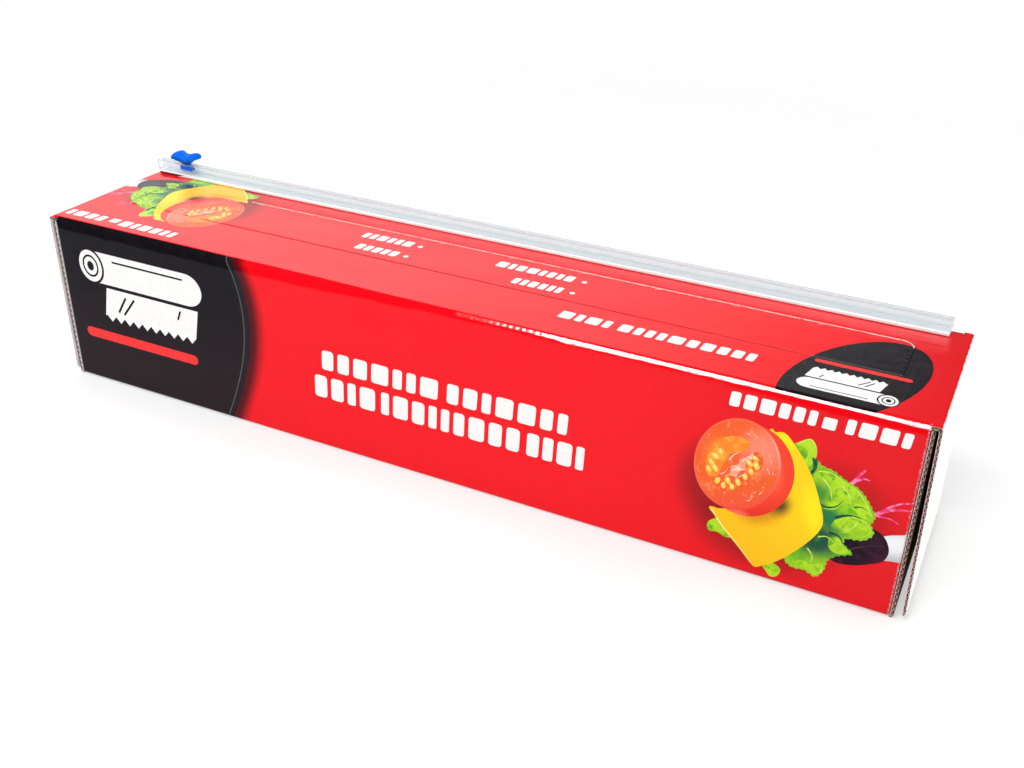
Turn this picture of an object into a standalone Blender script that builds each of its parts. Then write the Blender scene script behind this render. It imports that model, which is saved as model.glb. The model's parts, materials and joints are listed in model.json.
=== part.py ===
"""Cling film dispenser: a long corrugated carton that holds a catering roll
of film, with a tear-open access panel in its top and a slide cutter running
in a plastic track along the top's rear edge.

Frame: metres, +Z up.  The origin is the centre of the carton's underside.
+X runs along the roll, the main printed panel faces -Y, the cutter track is
on the +Y side of the top.
"""
import bpy
import bmesh
from math import asin, cos, pi, radians, sin, sqrt
from mathutils import Vector

MM = 0.001

# --------------------------------------------------------------------- carton
BOARD = 1.5 * MM            # fine-flute corrugated board
GAP = 0.3 * MM              # working gap between neighbouring pieces
MITRE = GAP / 2 * sqrt(2)   # end set-back that leaves the gap across a mitre
HEIGHT = 95.0 * MM          # underside to top face
DEPTH = 93.0 * MM           # front face to rear face
FRONT_Y = -DEPTH / 2
REAR_Y = DEPTH / 2
HALF_TOP = 233.0 * MM       # half length over the outer end flaps
HALF_WALL = 228.6 * MM      # half length of front and rear panels
HALF_BASE = 230.4 * MM      # half length of the bottom panel
FOLD_R = 2.0 * MM           # outer radius of the long folds
FOLD_INNER_R = FOLD_R - BOARD
REAR_WALL_TOP = HEIGHT - BOARD - GAP    # the rear wall stops under the top panel
TOP_REAR_Y = REAR_Y - 0.2 * MM          # raw rear edge of the top panel

# access panel in the top: hinged on its front line, torn free on the others
ACCESS_HALF = 211.2 * MM
ACCESS_FRONT = -9.6 * MM
ACCESS_REAR = 24.9 * MM
ACCESS_CORNER = 6.0 * MM

# strip turned in from the rear panel, under the top's rear edge
GLUE_FRONT = 26.2 * MM
GLUE_HALF = 222.5 * MM

# end flaps
END_FLAP_HALF_W = 46.1 * MM
END_FLAP_CORNER = 3.0 * MM
OUTER_FLAP_FOOT = 2.0 * MM      # free edge above the underside
RIGHT_FLARE = radians(1.3)      # the right outer flap stands slightly open
INNER_FLAP_TOP = 92.8 * MM
DUST_LENGTH = 40.0 * MM
DUST_FOOT = 2.2 * MM
DUST_TOP = 90.6 * MM
DUST_CORNER = 6.0 * MM

# --------------------------------------------------------------- cutter track
TRACK_X0 = -231.0 * MM
TRACK_X1 = 223.2 * MM
TRACK_Y0 = 38.1 * MM            # front wall's outer face
TRACK_BASE_W = 8.2 * MM
TRACK_W = 5.0 * MM              # channel, over its walls
TRACK_H = 5.8 * MM
TRACK_WALL = 0.7 * MM
TRACK_FLOOR = 0.9 * MM
TRACK_LIP = 1.6 * MM            # outer wall face to the slot
TRACK_LIP_T = 0.7 * MM
TRACK_CHAMFER = 0.35 * MM       # along the channel's outer top edges
TAPE_T = 1.3 * MM               # foam tape
TAPE_FRONT_OVERHANG = 0.8 * MM
TAPE_LEFT_INSET = 1.5 * MM
TAPE_RIGHT_INSET = 0.5 * MM
TAPE_Z0 = HEIGHT + GAP
TRACK_Z0 = TAPE_Z0 + TAPE_T + GAP
TRACK_TOP = TRACK_Z0 + TRACK_H

# --------------------------------- slider, parked near the track's left end
SLIDER_X = -211.0 * MM
SLIDER_Y = TRACK_Y0 + TRACK_W / 2
SLIDER_ORIGIN = (SLIDER_X, SLIDER_Y, TRACK_TOP)
SHOE_HALF = 4.2 * MM
SHOE_W = 3.0 * MM
SHOE_CORNER = 0.45 * MM
SHOE_Z0 = TRACK_Z0 + TRACK_FLOOR + GAP
SHOE_Z1 = TRACK_TOP - TRACK_LIP_T - GAP
NECK_HALF = 2.6 * MM
NECK_T = 1.2 * MM
NECK_OVERLAP = 0.8 * MM             # depth the neck sinks into the shoe
CAP_Z0 = TRACK_TOP + 2.6 * MM       # level the neck and blade arms rise past
NECK_TOP = CAP_Z0 + 1.1 * MM

# stamped blade
BLADE_T = 0.3 * MM
BLADE_HALF = 3.9 * MM               # half length of its bar
BLADE_SHOULDER_HALF = 3.8 * MM      # half length where the sloped edges start
BLADE_TIP_W = 0.5 * MM
BLADE_ARM = NECK_HALF + GAP         # slider centre to an arm's inner edge
BLADE_Z0 = SHOE_Z0 + 0.1 * MM
BLADE_BAR_TOP = SHOE_Z0 + 1.2 * MM
BLADE_SIDE_TOP = BLADE_BAR_TOP + 0.6 * MM
BLADE_SHOULDER_Z = BLADE_BAR_TOP + 1.6 * MM
BLADE_TOP = CAP_Z0 + 0.5 * MM
POCKET_HALF_T = BLADE_T / 2 + GAP   # half thickness of the blade's pocket
POCKET_DEPTH = 1.5 * MM             # low slot's height in the shoe
POCKET_NECK_OFFSET = 0.001 * MM     # keeps the side pockets off the neck's ends
CUT_MARGIN = 1.0 * MM               # how far pocket cutters pass the shoe
SLOT_MARGIN = 1.0 * MM              # cap slot beyond each arm's inner edge

# winged cap
CAP_SIDES = 16
CAP_WIDTH_POWER = 0.6               # superellipse exponents of the section
CAP_HEIGHT_POWER = 0.7
CAP_DROOP = 0.55 * MM               # drop of the wing tips
CAP_FLARE_TOP = 3.4 * MM            # height at which the stem has its full width
CAP_FLARE_MIN = 0.1 * MM            # least flare height, for high undersides
# Stations from the cap's end to its centre, mirrored to the other side.
# Columns: offset along X, half width, underside, top (mm, heights above the
# track), share of the width kept at the foot.
CAP_STATIONS = (
    (7.7, 3.4, 4.0, 4.8, 1.0),
    (7.4, 4.6, 3.6, 5.7, 1.0),
    (6.8, 5.3, 3.3, 6.4, 1.0),
    (5.8, 5.5, 3.2, 6.9, 1.0),
    (4.8, 5.4, 3.0, 6.9, 0.90),
    (3.9, 5.1, 2.2, 6.7, 0.60),
    (3.1, 4.8, 1.1, 6.4, 0.50),
    (2.4, 4.6, 0.5, 6.2, 0.50),
    (1.2, 4.4, 0.5, 6.0, 0.50),
    (0.0, 4.3, 0.5, 5.9, 0.50),
)

# ---------------- film roll: 450 mm wide, 600 m long, on a 38 mm bore core
ROLL_LENGTH = 450.0 * MM
ROLL_R = 44.1 * MM
CORE_R = 20.5 * MM
CORE_BORE_R = 19.0 * MM
CORE_LENGTH = 452.0 * MM
ROLL_CLEARANCE = 0.5 * MM           # under the roll, above the bottom panel
ROLL_CENTRE = (0.0, 0.0, BOARD + ROLL_R + ROLL_CLEARANCE)

# -------------------------------------------------------------------- colours
RED = (0.80, 0.02, 0.03)
LINER = (0.72, 0.67, 0.62)
TRACK_GREY = (0.78, 0.82, 0.84)
BLUE = (0.0, 0.11, 0.80)
WHITE = (0.85, 0.85, 0.84)
STEEL = (0.62, 0.63, 0.65)
FILM = (0.80, 0.86, 0.84)
CORE_PAPER = (0.50, 0.37, 0.25)


# -------------------------------------------------------------------- helpers
def make_material(name, colour, roughness, metallic=0.0, alpha=1.0):
    material = bpy.data.materials.new(name)
    material.use_nodes = True
    inputs = material.node_tree.nodes["Principled BSDF"].inputs
    inputs["Base Color"].default_value = (*colour, 1.0)
    inputs["Roughness"].default_value = roughness
    inputs["Metallic"].default_value = metallic
    inputs["Alpha"].default_value = alpha
    material.diffuse_color = (*colour, alpha)
    return material


def add_object(name, bm, material, origin=(0, 0, 0), smooth=False, rotation=(0, 0, 0)):
    """Turn a bmesh built in world coordinates into an object whose origin
    sits at `origin`, turned there by `rotation` (an Euler triple)."""
    bmesh.ops.recalc_face_normals(bm, faces=bm.faces)
    bmesh.ops.translate(bm, verts=bm.verts, vec=-Vector(origin))
    mesh = bpy.data.meshes.new(name)
    bm.to_mesh(mesh)
    bm.free()
    mesh.materials.append(material)
    obj = bpy.data.objects.new(name, mesh)
    bpy.context.scene.collection.objects.link(obj)
    obj.location = origin
    obj.rotation_euler = rotation
    if smooth:
        mesh.shade_smooth()
        mesh.set_sharp_from_angle(angle=radians(30))
    return obj


def add_piece(name, bm, colour, roughness, metallic=0.0, alpha=1.0, **placing):
    """Add an object with a material of its own, under the same name."""
    material = make_material(name, colour, roughness, metallic, alpha)
    return add_object(name, bm, material, **placing)


def apply_guide(target, name, bm, material, modifier_name="cut", operation='DIFFERENCE'):
    """Combine a new hidden guide shape with the target by an exact Boolean."""
    guide = add_object(name, bm, material)
    guide.hide_render = True
    guide.display_type = 'WIRE'
    modifier = target.modifiers.new(modifier_name, 'BOOLEAN')
    modifier.operation = operation
    modifier.solver = 'EXACT'
    modifier.object = guide


def along_x(y, z, end):
    return (end, y, z)


def along_y(x, z, end):
    return (x, end, z)


def along_z(x, y, end):
    return (x, y, end)


def prism(outline, place, low, high):
    """Closed prism over a 2-D outline.  `place` is one of the along_
    functions; low and high are end values or functions of an outline point."""
    bm = bmesh.new()

    def end_loop(end):
        return [bm.verts.new(place(*point, end(*point) if callable(end) else end))
                for point in outline]

    low_loop = end_loop(low)
    high_loop = end_loop(high)
    bm.faces.new(list(reversed(low_loop)))
    bm.faces.new(high_loop)
    bridge(bm, low_loop, high_loop)
    return bm


def bridge(bm, loop_a, loop_b):
    """Join two closed loops of vertices with a band of quads."""
    count = len(loop_a)
    for i in range(count):
        j = (i + 1) % count
        bm.faces.new((loop_a[i], loop_a[j], loop_b[j], loop_b[i]))


def centred_prism(outline, half_length):
    """Prism along X, its two ends mirrored; half_length is a function of y, z."""
    return prism(outline, along_x, lambda y, z: -half_length(y, z), half_length)


def box(x0, x1, y0, y1, z0, z1):
    return prism([(x0, y0), (x1, y0), (x1, y1), (x0, y1)], along_z, z0, z1)


def slider_box(half_x, half_y, z0, z1):
    """Box centred on the slider in X and Y."""
    return box(SLIDER_X - half_x, SLIDER_X + half_x,
               SLIDER_Y - half_y, SLIDER_Y + half_y, z0, z1)


def bevel_edges(bm, edges, radius, segments):
    bmesh.ops.bevel(bm, geom=edges, offset=radius, segments=segments, profile=0.5,
                    affect='EDGES')


def round_free_corners(bm, free_axis, level, side_axis, radius):
    """Round a flap's two corners where free_axis equals level; side_axis
    runs from one corner to the other."""
    corners = [edge for edge in bm.edges
               if all(abs(vert.co[free_axis] - level) < 1e-6 for vert in edge.verts)
               and abs(edge.verts[0].co[side_axis] - edge.verts[1].co[side_axis]) < 1e-6]
    bevel_edges(bm, corners, radius, segments=4)


def fold_arc(centre_y, centre_z, start, finish, radius, steps):
    """Points on a fold arc from `start` to `finish` degrees, trimmed back at
    the finish by half the working gap."""
    first, last = radians(start), radians(finish)
    trim = asin(GAP / 2 / radius)
    last -= trim if last > first else -trim
    angles = [first + (last - first) * i / steps for i in range(steps + 1)]
    return [(centre_y + radius * cos(angle), centre_z + radius * sin(angle))
            for angle in angles]


def half_fold(centre_y, centre_z, start, finish):
    """Outer and inner arcs of half of a long fold."""
    return (fold_arc(centre_y, centre_z, start, finish, FOLD_R, steps=5),
            fold_arc(centre_y, centre_z, start, finish, FOLD_INNER_R, steps=3))


def plate_between(first_fold, second_fold):
    """YZ outline of a plate that ends in a half fold at both edges."""
    first_outer, first_inner = first_fold
    second_outer, second_inner = second_fold
    return first_outer[::-1] + second_outer + second_inner[::-1] + first_inner


def rounded_plate(half_x, front, rear, radius, steps=6):
    """Rectangle outline in XY with its two rear corners rounded."""
    points = [(-half_x, front), (half_x, front)]
    for side, start in ((1, 0.0), (-1, pi / 2)):
        for i in range(steps + 1):
            angle = start + (pi / 2) * i / steps
            points.append((side * (half_x - radius) + radius * cos(angle),
                           rear - radius + radius * sin(angle)))
    return points


# ------------------------------------------------------------- carton, panels
def add_wall(name, face_y, top):
    """Front or rear wall, its ends mitred at 45 degrees to the dust flaps."""
    if face_y > 0:
        centre_y, side, down, up = face_y - FOLD_R, 0, -45, 45
    else:
        centre_y, side, down, up = face_y + FOLD_R, 180, 225, 135
    outline = plate_between(half_fold(centre_y, FOLD_R, side, down),
                            half_fold(centre_y, top - FOLD_R, side, up))
    bm = centred_prism(outline, lambda y, z: HALF_WALL - abs(face_y - y) - MITRE)
    add_piece(name, bm, RED, roughness=0.28)


def add_bottom_panel():
    outline = plate_between(half_fold(FRONT_Y + FOLD_R, FOLD_R, 270, 225),
                            half_fold(REAR_Y - FOLD_R, FOLD_R, 270, 315))
    bm = centred_prism(outline, lambda y, z: HALF_BASE - z - MITRE)
    add_piece("bottom_panel", bm, RED, roughness=0.30)


def add_top_panel():
    """Half of the front fold, then flat to a raw rear edge, with the access
    window cut out."""
    outer, inner = half_fold(FRONT_Y + FOLD_R, HEIGHT - FOLD_R, 90, 135)
    outline = ([(TOP_REAR_Y, HEIGHT)] + outer + inner[::-1]
               + [(TOP_REAR_Y, HEIGHT - BOARD)])
    bm = centred_prism(outline, lambda y, z: HALF_TOP - (HEIGHT - z) - MITRE)
    panel = add_piece("top_panel", bm, RED, roughness=0.26)
    window = rounded_plate(ACCESS_HALF + GAP / 2, ACCESS_FRONT - GAP / 2,
                           ACCESS_REAR + GAP / 2, ACCESS_CORNER)
    apply_guide(panel, "window_cutter",
                prism(window, along_z, HEIGHT - 3 * BOARD, HEIGHT + 2 * BOARD),
                make_material("guide", WHITE, roughness=0.5))


def add_access_flap():
    """Access panel, its origin on the hinge line."""
    outline = rounded_plate(ACCESS_HALF - GAP / 2, ACCESS_FRONT + GAP / 2,
                            ACCESS_REAR - GAP / 2, ACCESS_CORNER - GAP)
    add_piece("access_flap", prism(outline, along_z, HEIGHT - BOARD, HEIGHT),
              RED, roughness=0.26, origin=(0.0, ACCESS_FRONT, HEIGHT))


def add_glue_flap():
    outer, inner = half_fold(REAR_Y - FOLD_R, REAR_WALL_TOP - FOLD_R, 90, 45)
    outline = ([(GLUE_FRONT, REAR_WALL_TOP - BOARD), (GLUE_FRONT, REAR_WALL_TOP)]
               + outer + inner[::-1])
    add_piece("glue_flap", prism(outline, along_x, -GLUE_HALF, GLUE_HALF),
              LINER, roughness=0.8)


# --------------------------------------------------------------- carton, ends
def add_outer_end_flap(name, sign, flare):
    """Outermost end flap, hung from the top panel's end on a mitred crease.
    Its origin is on that crease."""
    face = sign * HALF_TOP
    back = sign * (HALF_TOP - BOARD)
    outline = [(face, OUTER_FLAP_FOOT), (face, HEIGHT - MITRE),
               (back, HEIGHT - BOARD - MITRE), (back, OUTER_FLAP_FOOT)]
    bm = prism(outline, along_y, -END_FLAP_HALF_W, END_FLAP_HALF_W)
    round_free_corners(bm, free_axis=2, level=OUTER_FLAP_FOOT, side_axis=1,
                       radius=END_FLAP_CORNER)
    add_piece(name, bm, LINER, roughness=0.7, origin=(face, 0.0, HEIGHT),
              rotation=(0.0, -sign * flare, 0.0))


def add_inner_end_flap(name, sign):
    """Middle end flap, turned up from the bottom panel's end."""
    face = sign * HALF_BASE
    back = sign * (HALF_BASE - BOARD)
    outline = [(face, MITRE), (face, INNER_FLAP_TOP),
               (back, INNER_FLAP_TOP), (back, BOARD + MITRE)]
    bm = prism(outline, along_y, -END_FLAP_HALF_W, END_FLAP_HALF_W)
    round_free_corners(bm, free_axis=2, level=INNER_FLAP_TOP, side_axis=1,
                       radius=END_FLAP_CORNER)
    add_piece(name, bm, LINER, roughness=0.7)


def add_dust_flap(name, sign, face_y):
    """Innermost short flap, turned in from the end of a front or rear wall."""
    inward = -1 if face_y > 0 else 1
    face = sign * HALF_WALL
    back = sign * (HALF_WALL - BOARD)
    tip = face_y + inward * DUST_LENGTH
    outline = [(face, face_y + inward * MITRE), (face, tip), (back, tip),
               (back, face_y + inward * (BOARD + MITRE))]
    bm = prism(outline, along_z, DUST_FOOT, DUST_TOP)
    round_free_corners(bm, free_axis=1, level=tip, side_axis=2, radius=DUST_CORNER)
    add_piece(name, bm, LINER, roughness=0.75)


# --------------------------------------------------------------- cutter track
def add_track_tape():
    bm = box(TRACK_X0 + TAPE_LEFT_INSET, TRACK_X1 - TAPE_RIGHT_INSET,
             TRACK_Y0 - TAPE_FRONT_OVERHANG, TRACK_Y0 + TRACK_BASE_W,
             TAPE_Z0, TAPE_Z0 + TAPE_T)
    add_piece("track_tape", bm, WHITE, roughness=0.6)


def add_cutter_track():
    """Base flange with a C-shaped channel on its front half, open upward
    through a slot between two lips."""
    front = TRACK_Y0
    rear = front + TRACK_W
    base_rear = front + TRACK_BASE_W
    floor = TRACK_Z0 + TRACK_FLOOR
    under_lip = TRACK_TOP - TRACK_LIP_T
    outline = [
        (front, TRACK_Z0), (base_rear, TRACK_Z0), (base_rear, floor), (rear, floor),
        (rear, TRACK_TOP - TRACK_CHAMFER), (rear - TRACK_CHAMFER, TRACK_TOP),
        (rear - TRACK_LIP, TRACK_TOP), (rear - TRACK_LIP, under_lip),
        (rear - TRACK_WALL, under_lip), (rear - TRACK_WALL, floor),
        (front + TRACK_WALL, floor), (front + TRACK_WALL, under_lip),
        (front + TRACK_LIP, under_lip), (front + TRACK_LIP, TRACK_TOP),
        (front + TRACK_CHAMFER, TRACK_TOP), (front, TRACK_TOP - TRACK_CHAMFER)]
    add_piece("cutter_track", prism(outline, along_x, TRACK_X0, TRACK_X1),
              TRACK_GREY, roughness=0.25, alpha=0.75)


# --------------------------------------------------------------------- slider
def add_slider_shoe(guide_material):
    """Shoe inside the channel, with a neck rising through the slot and a
    pocket for the blade."""
    bm = slider_box(SHOE_HALF, SHOE_W / 2, SHOE_Z0, SHOE_Z1)
    upright = [edge for edge in bm.edges
               if abs(edge.verts[0].co.z - edge.verts[1].co.z) > 1e-4]
    bevel_edges(bm, upright, SHOE_CORNER, segments=2)
    shoe = add_piece("slider_shoe", bm, BLUE, roughness=0.35, origin=SLIDER_ORIGIN)
    apply_guide(shoe, "neck_guide",
                slider_box(NECK_HALF, NECK_T / 2, SHOE_Z1 - NECK_OVERLAP, NECK_TOP),
                guide_material, modifier_name="join", operation='UNION')

    # low slot along the whole shoe, then full height past the neck
    pocket_half = SHOE_HALF + CUT_MARGIN
    apply_guide(shoe, "pocket_low_guide",
                slider_box(pocket_half, POCKET_HALF_T,
                           SHOE_Z0 - CUT_MARGIN, SHOE_Z0 + POCKET_DEPTH),
                guide_material)
    for side, sign in (("left", -1), ("right", 1)):
        x0, x1 = sorted((SLIDER_X + sign * (NECK_HALF + POCKET_NECK_OFFSET),
                         SLIDER_X + sign * pocket_half))
        apply_guide(shoe, f"pocket_{side}_guide",
                    box(x0, x1, SLIDER_Y - POCKET_HALF_T, SLIDER_Y + POCKET_HALF_T,
                        SHOE_Z0 - CUT_MARGIN, SHOE_Z1 + CUT_MARGIN),
                    guide_material)


def add_slider_blade():
    """One stamped blade: a bar through the shoe with an arm rising on each
    side of the neck, each arm with a sloped cutting edge facing outward."""
    half = [(BLADE_HALF, BLADE_Z0), (BLADE_HALF, BLADE_SIDE_TOP),
            (BLADE_SHOULDER_HALF, BLADE_SHOULDER_Z),
            (BLADE_ARM + BLADE_TIP_W, BLADE_TOP), (BLADE_ARM, BLADE_TOP),
            (BLADE_ARM, BLADE_BAR_TOP)]
    outline = ([(SLIDER_X + x, z) for x, z in half]
               + [(SLIDER_X - x, z) for x, z in reversed(half)])
    add_piece("slider_blade",
              prism(outline, along_y, SLIDER_Y - BLADE_T / 2, SLIDER_Y + BLADE_T / 2),
              STEEL, roughness=0.22, metallic=1.0, origin=SLIDER_ORIGIN)


def cap_section(x, half_width, low, high, foot_share):
    """Cross-section ring of the winged cap at station x.

    The part below the wings narrows toward the track, to foot_share of the
    full width.
    """
    ring = []
    middle = (low + high) / 2
    half_height = (high - low) / 2
    flare_height = max(CAP_FLARE_TOP - low, CAP_FLARE_MIN)
    for k in range(CAP_SIDES):
        angle = 2 * pi * k / CAP_SIDES
        across, up = cos(angle), sin(angle)
        y = half_width * abs(across) ** CAP_WIDTH_POWER * (1 if across >= 0 else -1)
        z = middle + half_height * abs(up) ** CAP_HEIGHT_POWER * (1 if up >= 0 else -1)
        droop = CAP_DROOP * (abs(y) / half_width) ** 2
        rise = min(1.0, (z - low) / flare_height)
        width_share = foot_share + (1.0 - foot_share) * rise ** 2
        ring.append((x, y * width_share, z - droop))
    return ring


def add_slider_cap(guide_material):
    """Winged cap, with a socket for the neck and a slot for the blade arms."""
    stations = ([(-offset, *rest) for offset, *rest in CAP_STATIONS]
                + list(reversed(CAP_STATIONS[:-1])))
    bm = bmesh.new()
    loops = []
    for offset, half_width, low, high, foot_share in stations:
        section = cap_section(offset * MM, half_width * MM, low * MM, high * MM,
                              foot_share)
        loops.append([bm.verts.new((SLIDER_X + x, SLIDER_Y + y, TRACK_TOP + z))
                      for x, y, z in section])
    for loop, next_loop in zip(loops, loops[1:]):
        bridge(bm, loop, next_loop)
    bm.faces.new(loops[0])
    bm.faces.new(list(reversed(loops[-1])))
    cap = add_piece("slider_cap", bm, BLUE, roughness=0.35, origin=SLIDER_ORIGIN,
                    smooth=True)
    apply_guide(cap, "socket_guide",
                slider_box(NECK_HALF + GAP, NECK_T / 2 + GAP, TRACK_TOP, NECK_TOP + GAP),
                guide_material)
    apply_guide(cap, "blade_slot_guide",
                slider_box(BLADE_ARM + SLOT_MARGIN, POCKET_HALF_T,
                           TRACK_TOP, BLADE_TOP + GAP),
                guide_material)


# ------------------------------------------------------------------ film roll
def roll_tube(outer_radius, inner_radius, length, segments):
    """Tube with a through bore, along X on the roll's axis."""
    bm = bmesh.new()
    _, centre_y, centre_z = ROLL_CENTRE

    def ring(x, radius):
        angles = [2 * pi * k / segments for k in range(segments)]
        return [bm.verts.new((x, centre_y + radius * cos(angle),
                              centre_z + radius * sin(angle)))
                for angle in angles]

    left_outer, left_inner, right_outer, right_inner = [
        ring(x, radius) for x in (-length / 2, length / 2)
        for radius in (outer_radius, inner_radius)]
    bridge(bm, left_outer, right_outer)
    bridge(bm, right_outer, right_inner)
    bridge(bm, right_inner, left_inner)
    bridge(bm, left_inner, left_outer)
    return bm


def add_core_tube():
    add_piece("core_tube", roll_tube(CORE_R, CORE_BORE_R, CORE_LENGTH, segments=48),
              CORE_PAPER, roughness=0.85, origin=ROLL_CENTRE, smooth=True)


def add_film_roll():
    add_piece("film_roll", roll_tube(ROLL_R, CORE_R + GAP, ROLL_LENGTH, segments=72),
              FILM, roughness=0.12, alpha=0.9, origin=ROLL_CENTRE, smooth=True)


# ---------------------------------------------------------------------- build
def build():
    for old in list(bpy.data.objects):
        bpy.data.objects.remove(old, do_unlink=True)

    add_wall("front_panel", FRONT_Y, HEIGHT)
    add_wall("rear_panel", REAR_Y, REAR_WALL_TOP)
    add_bottom_panel()
    add_top_panel()
    add_glue_flap()
    add_access_flap()

    for side, sign, flare in (("left", -1, 0.0), ("right", 1, RIGHT_FLARE)):
        add_outer_end_flap(f"{side}_outer_end_flap", sign, flare)
        add_inner_end_flap(f"{side}_inner_end_flap", sign)
        add_dust_flap(f"{side}_front_dust_flap", sign, FRONT_Y)
        add_dust_flap(f"{side}_rear_dust_flap", sign, REAR_Y)

    add_track_tape()
    add_cutter_track()
    slider_guide_material = make_material("guide_shape", WHITE, roughness=0.5)
    add_slider_shoe(slider_guide_material)
    add_slider_blade()
    add_slider_cap(slider_guide_material)

    add_core_tube()
    add_film_roll()


build()
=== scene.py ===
"""Carton of cling film with a slide cutter, closed and lying flat.

The carton runs along X, its printed front faces -Y, its rear +Y, and the top
faces +Z.  The end flaps close the carton at -X (left) and +X (right).  An
access flap is cut in the top, with the cutter track in front of it; the film
roll lies inside on an axis along X.  Lengths are millimetres unless noted;
MM turns them into metres.
"""
import bpy
import bmesh
import json
import random
from math import cos, hypot, pi, radians, sin
from mathutils import Matrix, Vector
from mathutils.geometry import delaunay_2d_cdt


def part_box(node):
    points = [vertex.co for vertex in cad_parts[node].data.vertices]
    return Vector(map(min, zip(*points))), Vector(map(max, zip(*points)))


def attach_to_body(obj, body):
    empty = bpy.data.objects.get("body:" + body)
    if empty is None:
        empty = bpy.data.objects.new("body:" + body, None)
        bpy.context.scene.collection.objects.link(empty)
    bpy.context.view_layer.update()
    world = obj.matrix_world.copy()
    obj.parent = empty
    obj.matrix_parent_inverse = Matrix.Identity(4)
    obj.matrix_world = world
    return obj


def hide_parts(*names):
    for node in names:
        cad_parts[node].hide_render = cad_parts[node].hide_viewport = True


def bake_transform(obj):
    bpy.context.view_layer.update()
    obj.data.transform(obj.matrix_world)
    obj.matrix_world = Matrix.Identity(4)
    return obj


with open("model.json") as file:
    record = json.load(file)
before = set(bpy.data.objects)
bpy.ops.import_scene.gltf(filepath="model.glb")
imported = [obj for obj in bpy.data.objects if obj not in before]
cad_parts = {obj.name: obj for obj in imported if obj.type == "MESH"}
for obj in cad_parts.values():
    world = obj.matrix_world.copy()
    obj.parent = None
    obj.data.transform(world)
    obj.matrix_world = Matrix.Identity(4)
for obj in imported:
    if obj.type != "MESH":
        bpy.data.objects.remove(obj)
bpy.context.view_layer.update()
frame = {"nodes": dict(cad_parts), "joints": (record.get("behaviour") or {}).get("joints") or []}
MM = 0.001


def box_mm(node):
    """Low and high corner of a CAD piece."""
    return [(corner.x / MM, corner.y / MM, corner.z / MM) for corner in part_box(node)]


def joint_mm(name, axis):
    joint = next(j for j in frame["joints"] if j["name"] == name)
    return joint["pos_m"][axis] / MM


# ---------------------------------------------------------------- main sizes
TOP_Z = box_mm("top_panel")[1][2]
REAR_Y = box_mm("rear_panel")[1][1]             # the front wall stands at -REAR_Y
HINGE_X = joint_mm("right_flap_hinge", 0)
WALL_X = 228.6                       # half length of the front and rear walls
WALL_EDGE = WALL_X - 0.15            # half length of their long laps
BOARD = 1.5
FLUTE = 3.3                          # spacing of the flutes in the board
FLUTE_TURN = 2 * pi / FLUTE
FOLD_R = 2.2                         # outer radius of the long folds
FOLD_Z = TOP_Z - FOLD_R              # where the upper long folds start
LAP = 0.4                            # wall sheet carried past its folds
FLAT_Y = REAR_Y - FOLD_R - LAP       # where the laps meet the flat panels

CREASE_R = 1.3                       # outer radius of the walls' end creases
CREASE_X = WALL_X - CREASE_R
CREASE_LEN = CREASE_R * pi / 2
DUST = 40.0                          # reach of the folded-in dust flaps
DUST_Z0, DUST_Z1 = 2.2, 90.6

END_R = 1.5                          # outer radius of the creases at the outer end flaps
END_X = HINGE_X - END_R
END_LEN = END_R * pi / 2
FLAP_Y = 46.1                        # half width of the end flaps
FLARE = radians(1.3)                 # the right outer flap stands open by this
TUCK_R = 1.6                         # outer radius of the creases at the inner end flaps
BASE_X = 230.4 - TUCK_R

(ACCESS_X, ACCESS_REAR) = (edge + 0.15 for edge in box_mm("access_flap")[1][:2])
ACCESS_Y = joint_mm("access_hinge", 1)
ACCESS_CREASE = 1.2                  # half width of the access crease strip
KERF = 0.17

# curved left edge of the red print: x = -ARC_X - ARC_SQUARE t^2 - ARC_CUBE t^3
# with t = z - ARC_Z
ARC_X, ARC_Z, ARC_SQUARE, ARC_CUBE = 100.5, 62.0, 0.00619, 0.000027

RED = (0.87, 0.0035, 0.0090)
BLACK = (0.0065, 0.0055, 0.0075)
WHITE = (0.88, 0.87, 0.86)
WHITE_BOARD = (0.80, 0.76, 0.73)


# -------------------------------------------------------------- node building
class Field:
    """An output socket of a node graph; arithmetic on it adds nodes."""

    def __init__(self, graph, socket):
        self.graph, self.socket = graph, socket

    def math(self, operation, other=None):
        inputs = {0: self} if other is None else {0: self, 1: other}
        return self.graph.value("Math", inputs, operation=operation)

    def __add__(self, other):
        return self.math('ADD', other)

    def __sub__(self, other):
        return self.math('SUBTRACT', other)

    def __mul__(self, other):
        return self.math('MULTIPLY', other)

    def __truediv__(self, other):
        return self.math('DIVIDE', other)

    def __abs__(self):
        return self.math('ABSOLUTE')

    def sine(self):
        return self.math('SINE')

    def root(self):
        return self.math('SQRT')

    def maximum(self, other):
        return self.math('MAXIMUM', other)

    def ramp(self, span, to=(0.0, 1.0)):
        """Smooth step from to[0] at span[0] to to[1] at span[1]."""
        return self.graph.value("MapRange", {
            "Value": self, "From Min": span[0], "From Max": span[1],
            "To Min": to[0], "To Max": to[1]}, interpolation_type='SMOOTHSTEP')

    def stretch(self, x, y, z):
        return self.graph.value("VectorMath", {0: self, 1: (x, y, z)}, operation='MULTIPLY')

    def scaled(self, factor):
        return self.graph.value("VectorMath", {0: self, "Scale": factor}, operation='SCALE')

    def noise(self, scale, detail=2.0, rough=0.5, distort=0.0):
        return self.graph.value("TexNoise", {
            "Vector": self, "Scale": scale, "Detail": detail, "Roughness": rough,
            "Distortion": distort})

    def split(self):
        node = self.graph.node("SeparateXYZ", {0: self})
        return [Field(self.graph, socket) for socket in node.outputs]


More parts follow.
